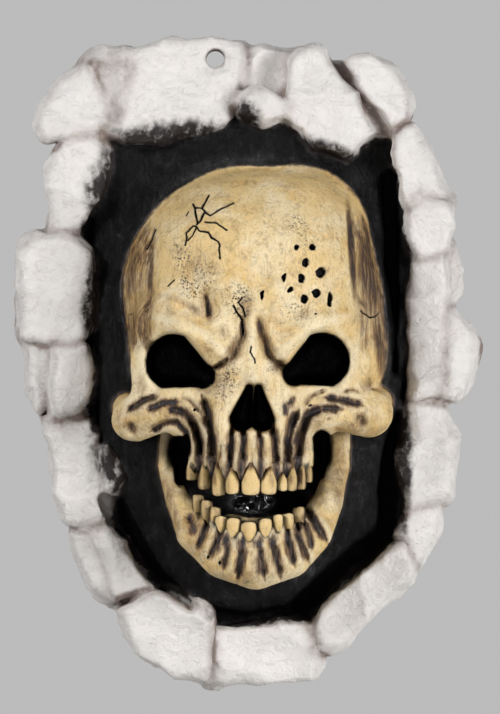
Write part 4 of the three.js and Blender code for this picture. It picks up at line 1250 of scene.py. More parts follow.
@dataclass(frozen=True)
class Teeth:
    """The two rows of teeth, set on arches that drop back to the sides."""

    front: dict[Jaw, float] = field(default_factory=lambda: {Jaw.UPPER: 141, Jaw.LOWER: 138})
    drop: float = 36
    arch_half_width: float = 56
    thickness: float = 7
    sunk: float = 6
    root: float = 5
    gum_point_radii: Point = (6.2, 1.6)
    gum_point_share: float = 0.36
    gum_point_blend: float = 3
    fullness: float = 1.14
    rings: int = 12
    sides: int = 18
    crookedness: float = 0.05
    seed: int = 7
    profile: Line = (
        (0, 0.25), (0.15, 0.4), (0.34, 0.72), (0.5, 0.95), (0.66, 1), (0.88, 0.95), (0.97, 0.76), (1, 0),
    )
    teeth: tuple[Tooth, ...] = (
        *Tooth.row(Jaw.UPPER, (
            (192.5, 463, 480, 5), (205.5, 466, 489, 5.5), (218.5, 467, 495, 6.5), (232.5, 471, 493, 7),
            (251, 466, 494, 9), (269, 470, 493.5, 8), (281, 474, 490, 5), (290.5, 468, 490, 6),
            (299.5, 464, 489, 4.5), (306, 463, 482, 4),
        )),
        *Tooth.row(Jaw.LOWER, (
            (199, 517, 493, 3.9), (207.3, 524, 498.5, 4.2), (214.6, 524, 505, 3.2), (221, 532, 514, 6),
            (233.7, 536, 515.7, 7), (249.5, 538.6, 519.5, 7.6), (264.8, 535.4, 516, 6.5),
            (277, 531, 512, 5), (287.5, 528.4, 511.2, 5), (298.5, 528, 505, 5),
        )),
    )

    def off(self, column: float) -> float:
        """How far a column lies along half the arch, from -1 to 1."""
        return (column - SKULL_SHEET.pin[0]) / self.arch_half_width

    def arch_depth(self, jaw: Jaw, column: float) -> float:
        """The depth of a jaw's arch at a column, in squares."""
        return self.front[jaw] - self.drop * self.off(column) ** 2 - self.sunk

    def width_at(self, share: Array) -> Array:
        """The tooth's half width at shares of its height, as a share of its widest."""
        heights, widths = zip(*self.profile)
        return np.interp(share, heights, widths)

    def gum_points(self) -> tuple[Roll, ...]:
        """The points of bone that run down or up between neighbouring teeth.

        Returns:
            The points, each as a short roll.
        """
        found = []
        for one, other in zip(self.teeth, self.teeth[1:]):
            if one.jaw is not other.jaw:
                continue
            column = (one.middle + one.half + other.middle - other.half) / 2
            gum, edge = (one.gum + other.gum) / 2, (one.edge + other.edge) / 2
            away = math.copysign(1, gum - edge)
            depth = self.arch_depth(one.jaw, column) + self.sunk
            base, tip = self.gum_point_radii
            found.append(Roll((
                (column, gum + 6 * away, depth - 1.5, base),
                (column, gum + (edge - gum) * self.gum_point_share, depth - 0.5, tip),
            ), self.gum_point_blend))
        return tuple(found)

    def work(self, clay: Clay) -> None:
        """Models the bone between the teeth."""
        for point in self.gum_points():
            clay.add(SKULL_SHEET, point.reach(), point.distance, point.blend)

    def outline_at(self, points: Array) -> Array:
        """How dark the gum's line round the teeth is at points, from 0 to 1.

        Args:
            points: The points in millimetres, one a row.

        Returns:
            A value from 0 to 1 for each point.
        """
        column, row, depth = SKULL_SHEET.squares(points)
        dark = np.zeros(len(points))
        for tooth in self.teeth:
            share = (row - tooth.gum) / (tooth.edge - tooth.gum)
            half = tooth.half * self.fullness * self.width_at(np.clip(share, 0, 0.95))
            away = np.abs(column - tooth.middle) - half
            beyond = np.maximum(-share, share - 1) * abs(tooth.edge - tooth.gum)
            outside = np.hypot(np.maximum(away, 0), np.maximum(beyond, 0))
            dark = np.maximum(dark, eased(1 - outside / 2.4))
        return dark * eased((depth - 80) / 15)

    def prototype(self) -> Object:
        """One tooth of unit size, neck up at the origin, that looks along -Y.

        Returns:
            The tooth.
        """
        work = bmesh.new()
        along = work.verts.layers.float.new("along")
        rows = []
        for ring in range(self.rings + 1):
            share = math.sin(0.5 * math.pi * ring / self.rings) ** 1.1
            width = float(self.width_at(np.array(share)))
            row = []
            for side in range(self.sides):
                turn = 2 * math.pi * side / self.sides
                x, y = (math.copysign(abs(part) ** 0.8, part) for part in (math.cos(turn), math.sin(turn)))
                bulge = 0.55 + 0.45 * width
                vert = work.verts.new((x * width, y * bulge * min(1, 4 * width), -share))
                vert[along] = share
                row.append(vert)
            rows.append(row)
        for upper, lower in zip(rows, rows[1:]):
            for side in range(self.sides):
                following = (side + 1) % self.sides
                work.faces.new((upper[side], lower[side], lower[following], upper[following]))
        work.faces.new(rows[0])
        work.faces.new(rows[-1])
        bmesh.ops.remove_doubles(work, verts=work.verts, dist=1e-4)
        bmesh.ops.recalc_face_normals(work, faces=work.faces)
        mesh = bpy.data.meshes.new("tooth")
        work.to_mesh(mesh)
        work.free()
        return placed("tooth", mesh)

    def roots(self) -> Object:
        """The places of the teeth, each with its size and turn.

        Returns:
            An object with a point for each tooth.
        """
        places, sizes, turns = [], [], []
        for tooth in self.teeth:
            upwards = math.copysign(1, tooth.gum - tooth.edge)
            neck = tooth.gum + upwards * self.root
            depth = self.arch_depth(tooth.jaw, tooth.middle)
            places.append(SKULL_SHEET.place(tooth.middle, neck, depth) * METRES)
            size = (tooth.half * self.fullness, self.thickness, abs(tooth.edge - neck))
            sizes.extend(side * SKULL_SHEET.unit * METRES for side in size)
            yaw = math.atan(2 * self.off(tooth.middle) * self.drop / self.arch_half_width)
            turns.extend((0, 0 if tooth.jaw is Jaw.UPPER else math.pi, yaw))
        mesh = bpy.data.meshes.new("tooth_roots")
        mesh.from_pydata(places, [], [])
        for name, values in (("size", sizes), ("turn", turns)):
            mesh.attributes.new(name, "FLOAT_VECTOR", "POINT").data.foreach_set("vector", values)
        return placed("tooth_roots", mesh)

    def node_tree(self) -> NodeTree:
        """The tree that sets a tooth on each root.

        Returns:
            The tree.
        """
        tree = bpy.data.node_groups.new("set_teeth", "GeometryNodeTree")
        for name, kind in (
            ("Roots", "NodeSocketGeometry"), ("Tooth", "NodeSocketObject"), ("Paint", "NodeSocketMaterial"),
            ("Crookedness", "NodeSocketFloat"), ("Seed", "NodeSocketInt"),
        ):
            tree.interface.new_socket(name, in_out="INPUT", socket_type=kind)
        tree.interface.new_socket("Teeth", in_out="OUTPUT", socket_type="NodeSocketGeometry")
        named, vector = "GeometryNodeInputNamedAttribute", "ShaderNodeVectorMath"
        nodes = {name: tree.nodes.new(kind) for name, kind in (
            ("given", "NodeGroupInput"), ("shape", "GeometryNodeObjectInfo"), ("size", named),
            ("turn", named),
            ("chance", "FunctionNodeRandomValue"), ("spread", vector), ("lean", vector),
            ("instance", "GeometryNodeInstanceOnPoints"), ("realize", "GeometryNodeRealizeInstances"),
            ("paint", "GeometryNodeSetMaterial"), ("out", "NodeGroupOutput"),
        )}
        nodes["spread"].operation = "SCALE"
        for name in ("chance", "size", "turn"):
            nodes[name].data_type = "FLOAT_VECTOR"
        for name in ("size", "turn"):
            nodes[name].inputs["Name"].default_value = name
        for name, limit in (("Min", -1), ("Max", 1)):
            nodes["chance"].inputs[name].default_value = (limit,) * 3
        for source, output, target, socket in (
            ("given", "Tooth", "shape", "Object"), ("given", "Roots", "instance", "Points"),
            ("shape", "Geometry", "instance", "Instance"), ("given", "Seed", "chance", "Seed"),
            ("chance", "Value", "spread", 0), ("given", "Crookedness", "spread", "Scale"),
            ("turn", "Attribute", "lean", 0), ("spread", "Vector", "lean", 1),
            ("lean", "Vector", "instance", "Rotation"), ("size", "Attribute", "instance", "Scale"),
            ("instance", "Instances", "realize", "Geometry"), ("realize", "Geometry", "paint", "Geometry"),
            ("given", "Paint", "paint", "Material"), ("paint", "Geometry", "out", "Teeth"),
        ):
            tree.links.new(nodes[source].outputs[output], nodes[target].inputs[socket])
        return tree

    def build(self, paint: Material) -> Object:
        """Sets the teeth.

        Args:
            paint: The material they are painted with.

        Returns:
            The teeth as one plain mesh.
        """
        tooth, roots, tree = self.prototype(), self.roots(), self.node_tree()
        modifier = roots.modifiers.new("set_teeth", "NODES")
        modifier.node_group = tree
        given = {"Tooth": tooth, "Paint": paint, "Crookedness": self.crookedness, "Seed": self.seed}
        for item in tree.interface.items_tree:
            if item.in_out == "INPUT" and item.name in given:
                modifier[item.identifier] = given[item.name]
        evaluated = roots.evaluated_get(bpy.context.evaluated_depsgraph_get())
        mesh = bpy.data.meshes.new_from_object(evaluated)
        roots.modifiers.remove(modifier)
        for spare in (tooth, roots):
            bpy.data.objects.remove(spare)
        return placed("teeth", mesh)


def srgb(red: float, green: float, blue: float) -> tuple[float, float, float, float]:
    """A colour as a screen shows it, from 0 to 255, turned into the light that it stands for."""
    light = [((c / 255 + 0.055) / 1.055) ** 2.4 if c > 10 else c / 255 / 12.92 for c in (red, green, blue)]
    return (*light, 1.0)


class PaintMixer:
    """Adds nodes to a material or a world and links them."""

    def __init__(self, owner: Material | World) -> None:
        """Starts with an empty tree."""
        owner.use_nodes = True
        self.tree = owner.node_tree
        self.tree.nodes.clear()

    def feed(self, sockets: Sequence[NodeSocket], values: Sequence[object]) -> None:
        """Sets sockets to values, or links them where a value is itself a socket.

        Args:
            sockets: The sockets to feed.
            values: A value for each.
        """
        for socket, value in zip(sockets, values):
            if isinstance(value, NodeSocket):
                self.tree.links.new(value, socket)
            else:
                socket.default_value = value

    def node(self, kind: str, settings: dict | None = None, **inputs: object) -> Node:
        """Adds a node.

        Args:
            kind: The node's type.
            settings: The node's own properties.
            inputs: A socket or a value for each input, by its name with _ for a space.

        Returns:
            The node.
        """
        made = self.tree.nodes.new(kind)
        for name, value in (settings or {}).items():
            setattr(made, name, value)
        self.feed([made.inputs[name.replace("_", " ")] for name in inputs], list(inputs.values()))
        return made

    def attribute(self, name: str) -> NodeSocket:
        """The value painted on the mesh under a name."""
        return self.node("ShaderNodeAttribute", {"attribute_name": name}).outputs["Fac"]

    def coordinates(self, stretch: Place = (1, 1, 1)) -> NodeSocket:
        """The object's own coordinates, stretched."""
        place = self.node("ShaderNodeTexCoord").outputs["Object"]
        return self.node("ShaderNodeMapping", Vector=place, Scale=stretch).outputs["Vector"]

    def noise(self, scale: float, detail: float = 3, rough: float = 0.55,
              stretch: Place = (1, 1, 1), warp: float = 0) -> NodeSocket:
        """Cloudy noise, so many lumps to the metre."""
        return self.node(
            "ShaderNodeTexNoise", Vector=self.coordinates(stretch), Scale=scale, Detail=detail,
            Roughness=rough, Distortion=warp,
        ).outputs["Fac"]

    def dots(self, scale: float) -> NodeSocket:
        """The distance to scattered dots, so many to the metre."""
        return self.node("ShaderNodeTexVoronoi", Vector=self.coordinates(), Scale=scale).outputs["Distance"]

    def span(self, value: object, low: float, high: float, start: float = 0,
             end: float = 1) -> NodeSocket:
        """Eases from start to end while value goes from low to high."""
        return self.node(
            "ShaderNodeMapRange", {"interpolation_type": "SMOOTHSTEP"}, Value=value, From_Min=low,
            From_Max=high, To_Min=start, To_Max=end,
        ).outputs["Result"]

    def math(self, operation: str, a: object, b: object) -> NodeSocket:
        """Works out two values, kept from 0 to 1.

        Args:
            operation: What is done with them.
            a: The first value.
            b: The second value.

        Returns:
            The result's socket.
        """
        node = self.node("ShaderNodeMath", {"operation": operation, "use_clamp": True})
        self.feed(node.inputs, (a, b))
        return node.outputs["Value"]

    def mixed(self, settings: dict, values: tuple[object, ...]) -> NodeSocket:
        """Mixes two colours or two values.

        Args:
            settings: The mix node's own properties.
            values: The share of the second one, then the two.

        Returns:
            The result's socket.
        """
        node = self.node("ShaderNodeMix", {"clamp_factor": True, **settings})
        self.feed([socket for socket in node.inputs if socket.enabled], values)
        return next(socket for socket in node.outputs if socket.enabled)

    def mix(self, share: object, under: object, over: object, blend: str = "MIX") -> NodeSocket:
        """Lays one colour over another."""
        return self.mixed({"data_type": "RGBA", "blend_type": blend}, (share, under, over))

    def blend(self, share: object, under: object, over: object) -> NodeSocket:
        """Goes from one value to another."""
        return self.mixed({"data_type": "FLOAT"}, (share, under, over))


@dataclass(frozen=True)
class BonePaint:
    """Bone: ochre washes under cream dry-brush and painted highlights, with brown and slate airbrushed into
    the grooves and painted shade in the hollows.
    """

    ochre: Colour = srgb(228, 198, 138)
    cream: Colour = srgb(244, 229, 194)
    orange: Colour = srgb(224, 180, 104)
    umber: Colour = srgb(152, 134, 124)
    slate: Colour = srgb(38, 32, 35)
    tooth: Colour = srgb(226, 193, 128)
    black: Colour = srgb(9, 8, 9)

    def mix(self, box: PaintMixer) -> tuple[NodeSocket, NodeSocket]:
        """Mixes the bone's colour and its roughness.

        Args:
            box: The mixer of the material.

        Returns:
            The two sockets.
        """
        clouds = box.span(box.noise(30, 7, 0.68, warp=0.5), 0.4, 0.66, 0, 0.7)
        warm = box.span(box.noise(46, 6, 0.65, warp=1.2), 0.5, 0.7, 0, 0.6)
        brushed = box.span(box.noise(240, 6, 0.75, (1, 1, 0.35), 2.5), 0.46, 0.7, 0, 0.5)
        mottled = box.span(box.noise(95, 9, 0.78, warp=0.8), 0.48, 0.68, 0, 0.55)
        colour = box.mix(clouds, self.ochre, self.cream)
        colour = box.mix(warm, colour, self.orange)
        colour = box.mix(brushed, colour, self.umber, "MULTIPLY")
        colour = box.mix(mottled, colour, self.umber, "MULTIPLY")
        # Cream on the ridges: cream dry-brush with a painted highlight on what stands proud.
        ridge = box.math("MULTIPLY", box.attribute("ridge"), 0.75)
        colour = box.mix(ridge, colour, self.cream)
        tooth = box.attribute("tooth")
        colour = box.mix(box.math("MULTIPLY", tooth, 0.72), colour, self.tooth)
        speckle = box.span(box.noise(620, 3), 0.6, 0.7, 0, 0.6)
        colour = box.mix(speckle, colour, self.umber)
        hatch = box.noise(420, 5, 0.7, (1, 1, 0.16), 0.3)
        # Umber, then slate, where the grooves are airbrushed and where painted shade lies: hollows, temples
        # and the skull's edge against the skin.
        stain = box.attribute("stain")
        broken = box.math("MULTIPLY", stain, box.span(hatch, 0.35, 0.62, 0.68, 1.12))
        colour = box.mix(box.span(broken, 0.02, 0.7), colour, self.umber, "MULTIPLY")
        colour = box.mix(box.span(broken, 0.35, 1.0), colour, self.slate)
        pores = box.math(
            "MAXIMUM", box.span(box.dots(430), 0.24, 0.4, 1, 0), box.span(box.dots(760), 0.24, 0.4, 0.85, 0))
        chance = box.span(box.noise(170, 2), 0.34, 0.46)
        pores = box.math("MULTIPLY", box.math("MULTIPLY", pores, chance), box.attribute("pores"))
        colour = box.mix(pores, colour, self.slate)
        black = box.attribute("black")
        colour = box.mix(black, colour, self.black)
        rough = box.blend(black, box.span(box.noise(60, 4), 0.3, 0.7, 0.42, 0.6), 0.24)
        rough = box.blend(box.attribute("wet"), rough, 0.1)
        return colour, rough


@dataclass(frozen=True)
class PlasterPaint:
    """White plaster: warm white, with grey-pink painted shade and dirt in its creases and dimples, and black
    where the hole begins: scrubbed paint, with painted shade down the inner walls.
    """

    white: Colour = srgb(235, 231, 228)
    # Grey-pink: painted shade in the creases, and also dirt, hair cracks and random veils.
    shade_and_dirt: Colour = srgb(146, 131, 124)
    soot: Colour = srgb(32, 25, 24)

    def mix(self, box: PaintMixer) -> tuple[NodeSocket, NodeSocket]:
        """Mixes the plaster's colour and its roughness.

        Args:
            box: The mixer of the material.

        Returns:
            The two sockets.
        """
        scuff = box.span(box.noise(48, 5, 0.65), 0.35, 0.65, 0.6, 1.3)
        # Grey-pink painted shade in the creases and seams, broken by scuffs.
        crease = box.math("MULTIPLY", box.attribute("crease"), scuff)
        veil = box.span(box.noise(26, 4), 0.56, 0.8, 0, 0.1)
        colour = box.mix(veil, self.white, self.shade_and_dirt)
        colour = box.mix(crease, colour, self.shade_and_dirt)
        # Darker in the hammered dimples, in step with the bump: dirt with painted shade.
        dimple_dirt_and_shade = box.span(box.noise(130, 9, 0.66, (1, 1, 1.2), 1.4), 0.36, 0.46, 0.16, 0)
        colour = box.mix(dimple_dirt_and_shade, colour, self.shade_and_dirt)
        hair = box.span(box.noise(260, 5, 0.7, warp=1.2), 0.65, 0.71, 0, 0.35)
        colour = box.mix(hair, colour, self.shade_and_dirt)
        # Black where the hole begins: paint scrubbed over the edge, with painted shade on the deeper inner
        # walls.
        patchy = box.span(box.noise(150, 4, 0.7), 0.3, 0.6, 0.7, 1.25)
        brushed = box.math("MULTIPLY", box.attribute("soot"), patchy)
        colour = box.mix(box.span(brushed, 0.1, 0.8), colour, self.soot)
        return colour, box.blend(brushed, 0.72, 0.5)


@dataclass(frozen=True)
class CharcoalPaint:
    """Charcoal: near black, with brushed greys that lighten its folds as a painted highlight, and painted
    shade in its creases.
    """

    black: Colour = srgb(10, 10, 11)
    grey: Colour = srgb(104, 104, 108)

    def mix(self, box: PaintMixer) -> tuple[NodeSocket, NodeSocket]:
        """Mixes the charcoal's colour and its roughness.

        Args:
            box: The mixer of the material.

        Returns:
            The two sockets.
        """
        brushed = box.span(box.noise(130, 7, 0.72, (1, 1, 0.45), 1.8), 0.5, 0.7)
        # Brushed greys all over, lighter on the folds as a painted highlight.
        brushed_grey_and_highlight = box.math("MULTIPLY", brushed, box.math("ADD", box.attribute("ridge"), 0.34))
        brushed_grey_and_highlight = box.math("ADD", brushed_grey_and_highlight, box.math("MULTIPLY", box.attribute("ridge"), 0.22))
        colour = box.mix(brushed_grey_and_highlight, self.black, self.grey)
        # Painted shade in the creases, then the black of the hollows and channels.
        colour = box.mix(box.attribute("crease"), colour, self.black)
        colour = box.mix(box.attribute("black"), colour, self.black)
        rough = box.span(box.noise(90, 4), 0.3, 0.7, 0.34, 0.52)
        return colour, box.blend(box.attribute("wet"), rough, 0.12)


@dataclass(frozen=True)
class AirbrushedLatex:
    """The whole finish: the three paints over latex, and the bare back."""

    bone: BonePaint = BonePaint()
    plaster: PlasterPaint = PlasterPaint()
    charcoal: CharcoalPaint = CharcoalPaint()
    bare: Colour = srgb(206, 192, 164)
    back_skin: float = 0.0006
    relief_depth: float = 0.0022

    def material(self) -> Material:
        """Makes the material that the whole casting wears.

        Returns:
            The material.
        """
        made = bpy.data.materials.new("airbrushed latex")
        box = PaintMixer(made)
        bone, plaster = box.attribute("bone"), box.attribute("plaster")
        charcoal_colour, charcoal_rough = self.charcoal.mix(box)
        plaster_colour, plaster_rough = self.plaster.mix(box)
        bone_colour, bone_rough = self.bone.mix(box)
        colour = box.mix(plaster, charcoal_colour, plaster_colour)
        colour = box.mix(bone, colour, bone_colour)
        rough = box.blend(bone, box.blend(plaster, charcoal_rough, plaster_rough), bone_rough)
        place = box.node("ShaderNodeSeparateXYZ", Vector=box.coordinates()).outputs["Y"]
        back = box.span(place, -2 * self.back_skin, -self.back_skin)
        colour = box.mix(back, colour, self.bare)
        shine = box.blend(box.math("MAXIMUM", bone, plaster), 0.5, 0.42)
        shine = box.blend(box.attribute("black"), shine, 0.06)
        shine = box.blend(box.attribute("wet"), shine, 1.0)
        shader = box.node(
            "ShaderNodeBsdfPrincipled", Base_Color=colour, Roughness=rough,
            Normal=self.relief(box, bone, plaster), Specular_IOR_Level=shine,
        )
        box.node("ShaderNodeOutputMaterial", Surface=shader.outputs["BSDF"])
        return made

    def relief(self, box: PaintMixer, bone: NodeSocket,
               plaster: NodeSocket) -> NodeSocket:
        """The fine tooth of each surface: hammered plaster, brushed skin and stippled bone.

        Args:
            box: The mixer of the material.
            bone: How much of the bone there is.
            plaster: How much of the plaster there is.

        Returns:
            The socket of the bumped normal.
        """
        hammered = box.noise(130, 9, 0.66, (1, 1, 1.2), 1.4)
        brushed = box.noise(260, 6, 0.7, (1, 1, 0.5), 1.5)
        stippled = box.noise(330, 5, 0.65, (1, 1, 0.6), 0.8)
        height = box.blend(plaster, box.math("MULTIPLY", brushed, 0.9), hammered)
        height = box.blend(bone, height, box.math("MULTIPLY", stippled, 0.42))
        pores = box.math("MULTIPLY", box.span(box.dots(430), 0.2, 0.4, 1, 0), box.attribute("pores"))
        height = box.math("SUBTRACT", height, box.math("MULTIPLY", pores, 0.5))
        lumps = box.math("MULTIPLY", box.noise(260, 3), box.attribute("black"))
        height = box.math("ADD", height, box.math("MULTIPLY", lumps, 0.5))
        height = box.blend(box.attribute("wet"), height, 0.5)
        bump = box.node("ShaderNodeBump", Height=height, Strength=1, Distance=self.relief_depth)
        return bump.outputs["Normal"]


@dataclass(frozen=True)
class Casting:
    """The casting: the worked clay's skin with its marks, teeth and paint."""

    rim: PlasterRim = PlasterRim()
    skin: StretchedSkin = StretchedSkin()
    skull: Skull = Skull()
    teeth: Teeth = Teeth()
    finish: AirbrushedLatex = AirbrushedLatex()
    fine: float = 1.2
    coarse: float = 1.8
    deep_step: float = 2.0
    faces_kept: int = 128_000
    mark_edge: float = 0.42
    mark_margins: tuple[float, ...] = (1.8, 1.0, 0.4, 0)
    black_edge_reach: float = 9
    creep_reach: float = 30
    room: float = 6
    chips: Chips = Chips(34, 3.1, 21)
    chips_sunk: float = 2.1
    smooth_round_hole: float = 8
    lip_reach: float = 17
    back_reach: float = 4
    narrow_step: float = 5
    wide_step: float = 14
    channel_step: float = 26
    crest_step: float = 6
    hole_ring: float = 1.8
    back_facing: float = 0.98

    def clay(self) -> Clay:
        """Works the whole form.

        Returns:
            The clay, with its flat back and its hole.
        """
        low, high = (corner / METRES for corner in CAD_BOX)
        room = self.room
        xs = graded_axis(low.x - room, ((-70, self.coarse), (125, self.fine), (high.x + room, self.coarse)))
        ys = graded_axis(low.y - room, ((-44, self.fine), (room, self.deep_step)))
        zs = graded_axis(low.z - room, (
            (-375, self.coarse), (-80, self.fine), (-12, self.coarse), (12, self.fine),
            (high.z + room, self.coarse),
        ))
        clay = Clay(xs, ys, zs)
        for part in (self.rim, self.skin, self.skull, self.teeth):
            part.work(clay)
        clay.finish(HANGING_HOLE_DIAMETER / 2)
        return clay

    def build(self) -> Object:
        """Makes the finished casting as one piece.

        Returns:
            The piece, at the origin.
        """
        clay = self.clay()
        points, faces = clay.skin()
        LOG.info("clay of %s samples gives %d faces", clay.values.shape, len(faces))
        mesh = bpy.data.meshes.new("painted_casting")
        mesh.from_pydata(points * METRES, [], faces.tolist())
        mesh.update()
        piece = placed("painted_casting", mesh)
        self.roughen(mesh)
        self.thin(piece)
        self.refine_marks(piece.data)
        self.dress(piece.data, clay)
        paint = self.finish.material()
        piece.data.materials.append(paint)
        teeth = self.teeth.build(paint)
        self.dress_teeth(teeth.data)
        self.join(piece, teeth)
        piece.data.shade_smooth()
        self.flatten_back(piece.data)
        return piece

    def flatten_back(self, mesh: Mesh) -> None:
        """Shades the flat back flat, so that its long faces show no streaks."""
        for face in mesh.polygons:
            face.use_smooth = face.normal.y < self.back_facing

    @staticmethod
    def surface(mesh: Mesh) -> tuple[Array, Array]:
        """Reads a mesh's surface.

        Args:
            mesh: The mesh.

        Returns:
            Its points in millimetres and its normals there, one a row.
        """
        found = []
        for items, name in ((mesh.vertices, "co"), (mesh.vertex_normals, "vector")):
            numbers = np.zeros(len(items) * 3, np.float32)
            items.foreach_get(name, numbers)
            found.append(numbers.reshape(-1, 3).astype(float))
        return found[0] / METRES, found[1]

    @staticmethod
    def set_points(mesh: Mesh, points: Array) -> None:
        """Moves a mesh's points to places in millimetres."""
        mesh.vertices.foreach_set("co", (points * METRES).astype(np.float32).ravel())
        mesh.update()

    def shares(self, points: Array) -> tuple[Array, Array]:
        """How much of the bone and of the plaster there is at points, from 0 to 1.

        Args:
            points: The points in millimetres, one a row.

        Returns:
            The two shares, each with a value for each point.
        """
        bone, rim, skin = (part.distance_at(points) for part in (self.skull, self.rim, self.skin))
        waver = 0.8 * Grain((9, 9, 9), 3).at(points)
        bone_share = eased(0.5 + (np.minimum(rim, skin) - bone + waver) / 2.4)
        rim_share = eased(0.5 + (skin - rim + 2 * waver) / 2.4)
        return bone_share, rim_share

    @staticmethod
    def from_hole(points: Array) -> Array:
        """How far points lie outside the hanging hole, in millimetres."""
        return np.hypot(points[:, 0], points[:, 2]) - HANGING_HOLE_DIAMETER / 2

    def roughen(self, mesh: Mesh) -> None:
        """Gives each surface its lumps: hammered plaster, a wrinkled skin and a barely uneven bone.

        Args:
            mesh: The mesh, which is changed.
        """
        points, normals = self.surface(mesh)
        bone, rim = self.shares(points)
        plaster = self.chips.at(points) - self.chips_sunk + 0.9 * Grain((15, 15, 15), 28).at(points)
        plaster += 0.42 * Grain((7, 7, 7), 22).at(points) + 0.2 * Grain((3.6, 3.6, 3.6), 23).at(points)
        plaster *= eased((self.from_hole(points) - 1) / self.smooth_round_hole)
        lip = eased(1 - self.skin.sheet_at(points) / self.lip_reach)
        plaster += 1.3 * lip * (0.5 - 2 * np.abs(Grain((5, 5, 9), 29).at(points)))
        wrinkles = 1.4 * (0.5 - np.abs(Grain((10, 14, 22), 24).at(points)))
        wrinkles += 0.8 * (0.5 - np.abs(Grain((4, 6, 8), 25).at(points)))
        lumps = 0.4 * Grain((12, 12, 12), 26).at(points) + 0.22 * Grain((4.5, 4.5, 4.5), 27).at(points)
        rise = bone * lumps + (1 - bone) * (rim * plaster + (1 - rim) * wrinkles)
        rise += 2.2 * self.skull.wet_at(points) * Grain((5, 5, 5), 30).at(points)
        off_back = eased(-points[:, 1] / self.back_reach)
        self.set_points(mesh, points + normals * (rise * off_back)[:, None])

    def thin(self, piece: Object) -> None:
        """Takes faces out where they tell least of the form.

        Args:
            piece: The casting, which gets a new mesh.
        """
        mesh = piece.data
        modifier = piece.modifiers.new("thin", "DECIMATE")
        modifier.ratio = self.faces_kept / (2 * len(mesh.polygons))
        evaluated = piece.evaluated_get(bpy.context.evaluated_depsgraph_get())
        piece.data = bpy.data.meshes.new_from_object(evaluated)
        piece.modifiers.remove(modifier)
        piece.data.name = mesh.name
        bpy.data.meshes.remove(mesh)

    def refine_marks(self, mesh: Mesh) -> None:
        """Adds points round the cracks and pits and presses them in.

        Args:
            mesh: The mesh, which is changed.
        """
        for margin in self.mark_margins:
            work = bmesh.new()
            work.from_mesh(mesh)
            points = np.array([vert.co for vert in work.verts]) / METRES
            near = self.skull.marks_at(points, margin)[1] > 0.01
            edges = [
                edge for edge in work.edges
                if any(near[vert.index] for vert in edge.verts)
                and edge.calc_length() > self.mark_edge * METRES
            ]
            bmesh.ops.subdivide_edges(work, edges=edges, cuts=1, use_grid_fill=True)
            bmesh.ops.triangulate(work, faces=[face for face in work.faces if len(face.verts) > 3])
            work.to_mesh(mesh)
            work.free()
        points, normals = self.surface(mesh)
        deep, black = self.skull.marks_at(points)
        self.paint(mesh, mark=black)
        self.set_points(mesh, points - normals * deep[:, None])
        LOG.info("marks pressed in, %d faces", len(mesh.polygons))

    @staticmethod
    def paint(mesh: Mesh, **values: Array) -> None:
        """Paints values on the mesh's points, each under its name.

        Args:
            mesh: The mesh, which is changed.
            values: A value for each point, by the name it is painted under.
        """
        for name, value in values.items():
            layer = mesh.attributes.get(name) or mesh.attributes.new(name, "FLOAT", "POINT")
            layer.data.foreach_set("value", np.clip(value, 0, 1).astype(np.float32))

    @staticmethod
    def take(mesh: Mesh, name: str) -> Array:
        """Takes the values under a name off a mesh's points.

        Args:
            mesh: The mesh.
            name: The values' name.

        Returns:
            A value for each point.
        """
        values = np.zeros(len(mesh.vertices), np.float32)
        mesh.attributes[name].data.foreach_get("value", values)
        mesh.attributes.remove(mesh.attributes[name])
        return values

    def dress(self, mesh: Mesh, clay: Clay) -> None:
        """Paints the casting, with painted shade in its shut-in places and painted highlights on what stands
        proud.

        Args:
            mesh: The casting's mesh.
            clay: The form, which tells how open or narrow a place is.
        """
        marks = self.take(mesh, "mark")
        points, normals = self.surface(mesh)
        bone, rim = self.shares(points)
        skull, level = self.skull, clay.distance_at(points)

        def shut(step: float) -> Array:
            """How shut in points are within a step, from 0 to 1."""
            return np.clip(1 - (clay.distance_at(points + normals * step) - level) / step, 0, 1)

        def proud(step: float) -> Array:
            """How proud points stand within a step, from 0 to 1."""
            return np.clip(1 + (clay.distance_at(points - normals * step) - level) / step, 0, 1)

        narrow, wide = shut(self.narrow_step), shut(self.wide_step)
        waver = Grain((3, 3, 3), 31).at(points)
        lining, sheet = self.skin.distance_at(points), self.skin.sheet_at(points)

        column, row, deep = SKULL_SHEET.squares(points)
        streaks = Grain((3, 3, 40), 33).at(points) + 0.5 * Grain((9, 9, 24), 34).at(points)
        # Airbrushed grooves and hatched temples, with painted shade: the shade patches, shut-in places, the
        # back of the skull, and the bone next to the skin it sits on.
        stain = np.maximum.reduce([
            1.3 * skull.grooves_at(points), skull.shares_at(points, skull.shade_patches),
            (0.5 + 0.28 * streaks) * skull.temples_at(column, row),
            0.62 * eased(1.5 * narrow - 0.25), 0.3 * eased(1.3 * wide - 0.2),
            0.3 * eased((30 - deep) / 30), eased(1.1 - lining / 7 + 0.15 * waver),
        ])

        # Black on the rim by the hole: scrubbed paint, with painted shade that deepens down the inner walls,
        # in the patches given and against the skin.
        low = eased((RIM_DEPTH * 0.9 + points[:, 1] + 4 * waver) / 11)
        edge = self.near_hole(points, self.black_edge_reach)
        creep = self.near_hole(points, self.creep_reach) * self.rim.overspray_and_shade_at(points)
        creep *= 0.85 + 0.4 * Grain((2.5, 2.5, 7), 36).at(points)
        soot = np.maximum.reduce([edge * low, creep, eased(1.2 - sheet / 5) * eased(edge * 4)])

        # Painted shade in narrow and shut-in places, along the seams between blocks, and round the hanging
        # hole's edge.
        crease = np.maximum.reduce([
            eased(1.7 * narrow - 0.2), 0.16 * eased(1.4 * wide - 0.4),
            (0.5 + 0.25 * waver) * self.rim.seams_at(points) ** 1.5 * rim,
            0.8 * eased(1 - self.from_hole(points) / self.hole_ring),
        ])
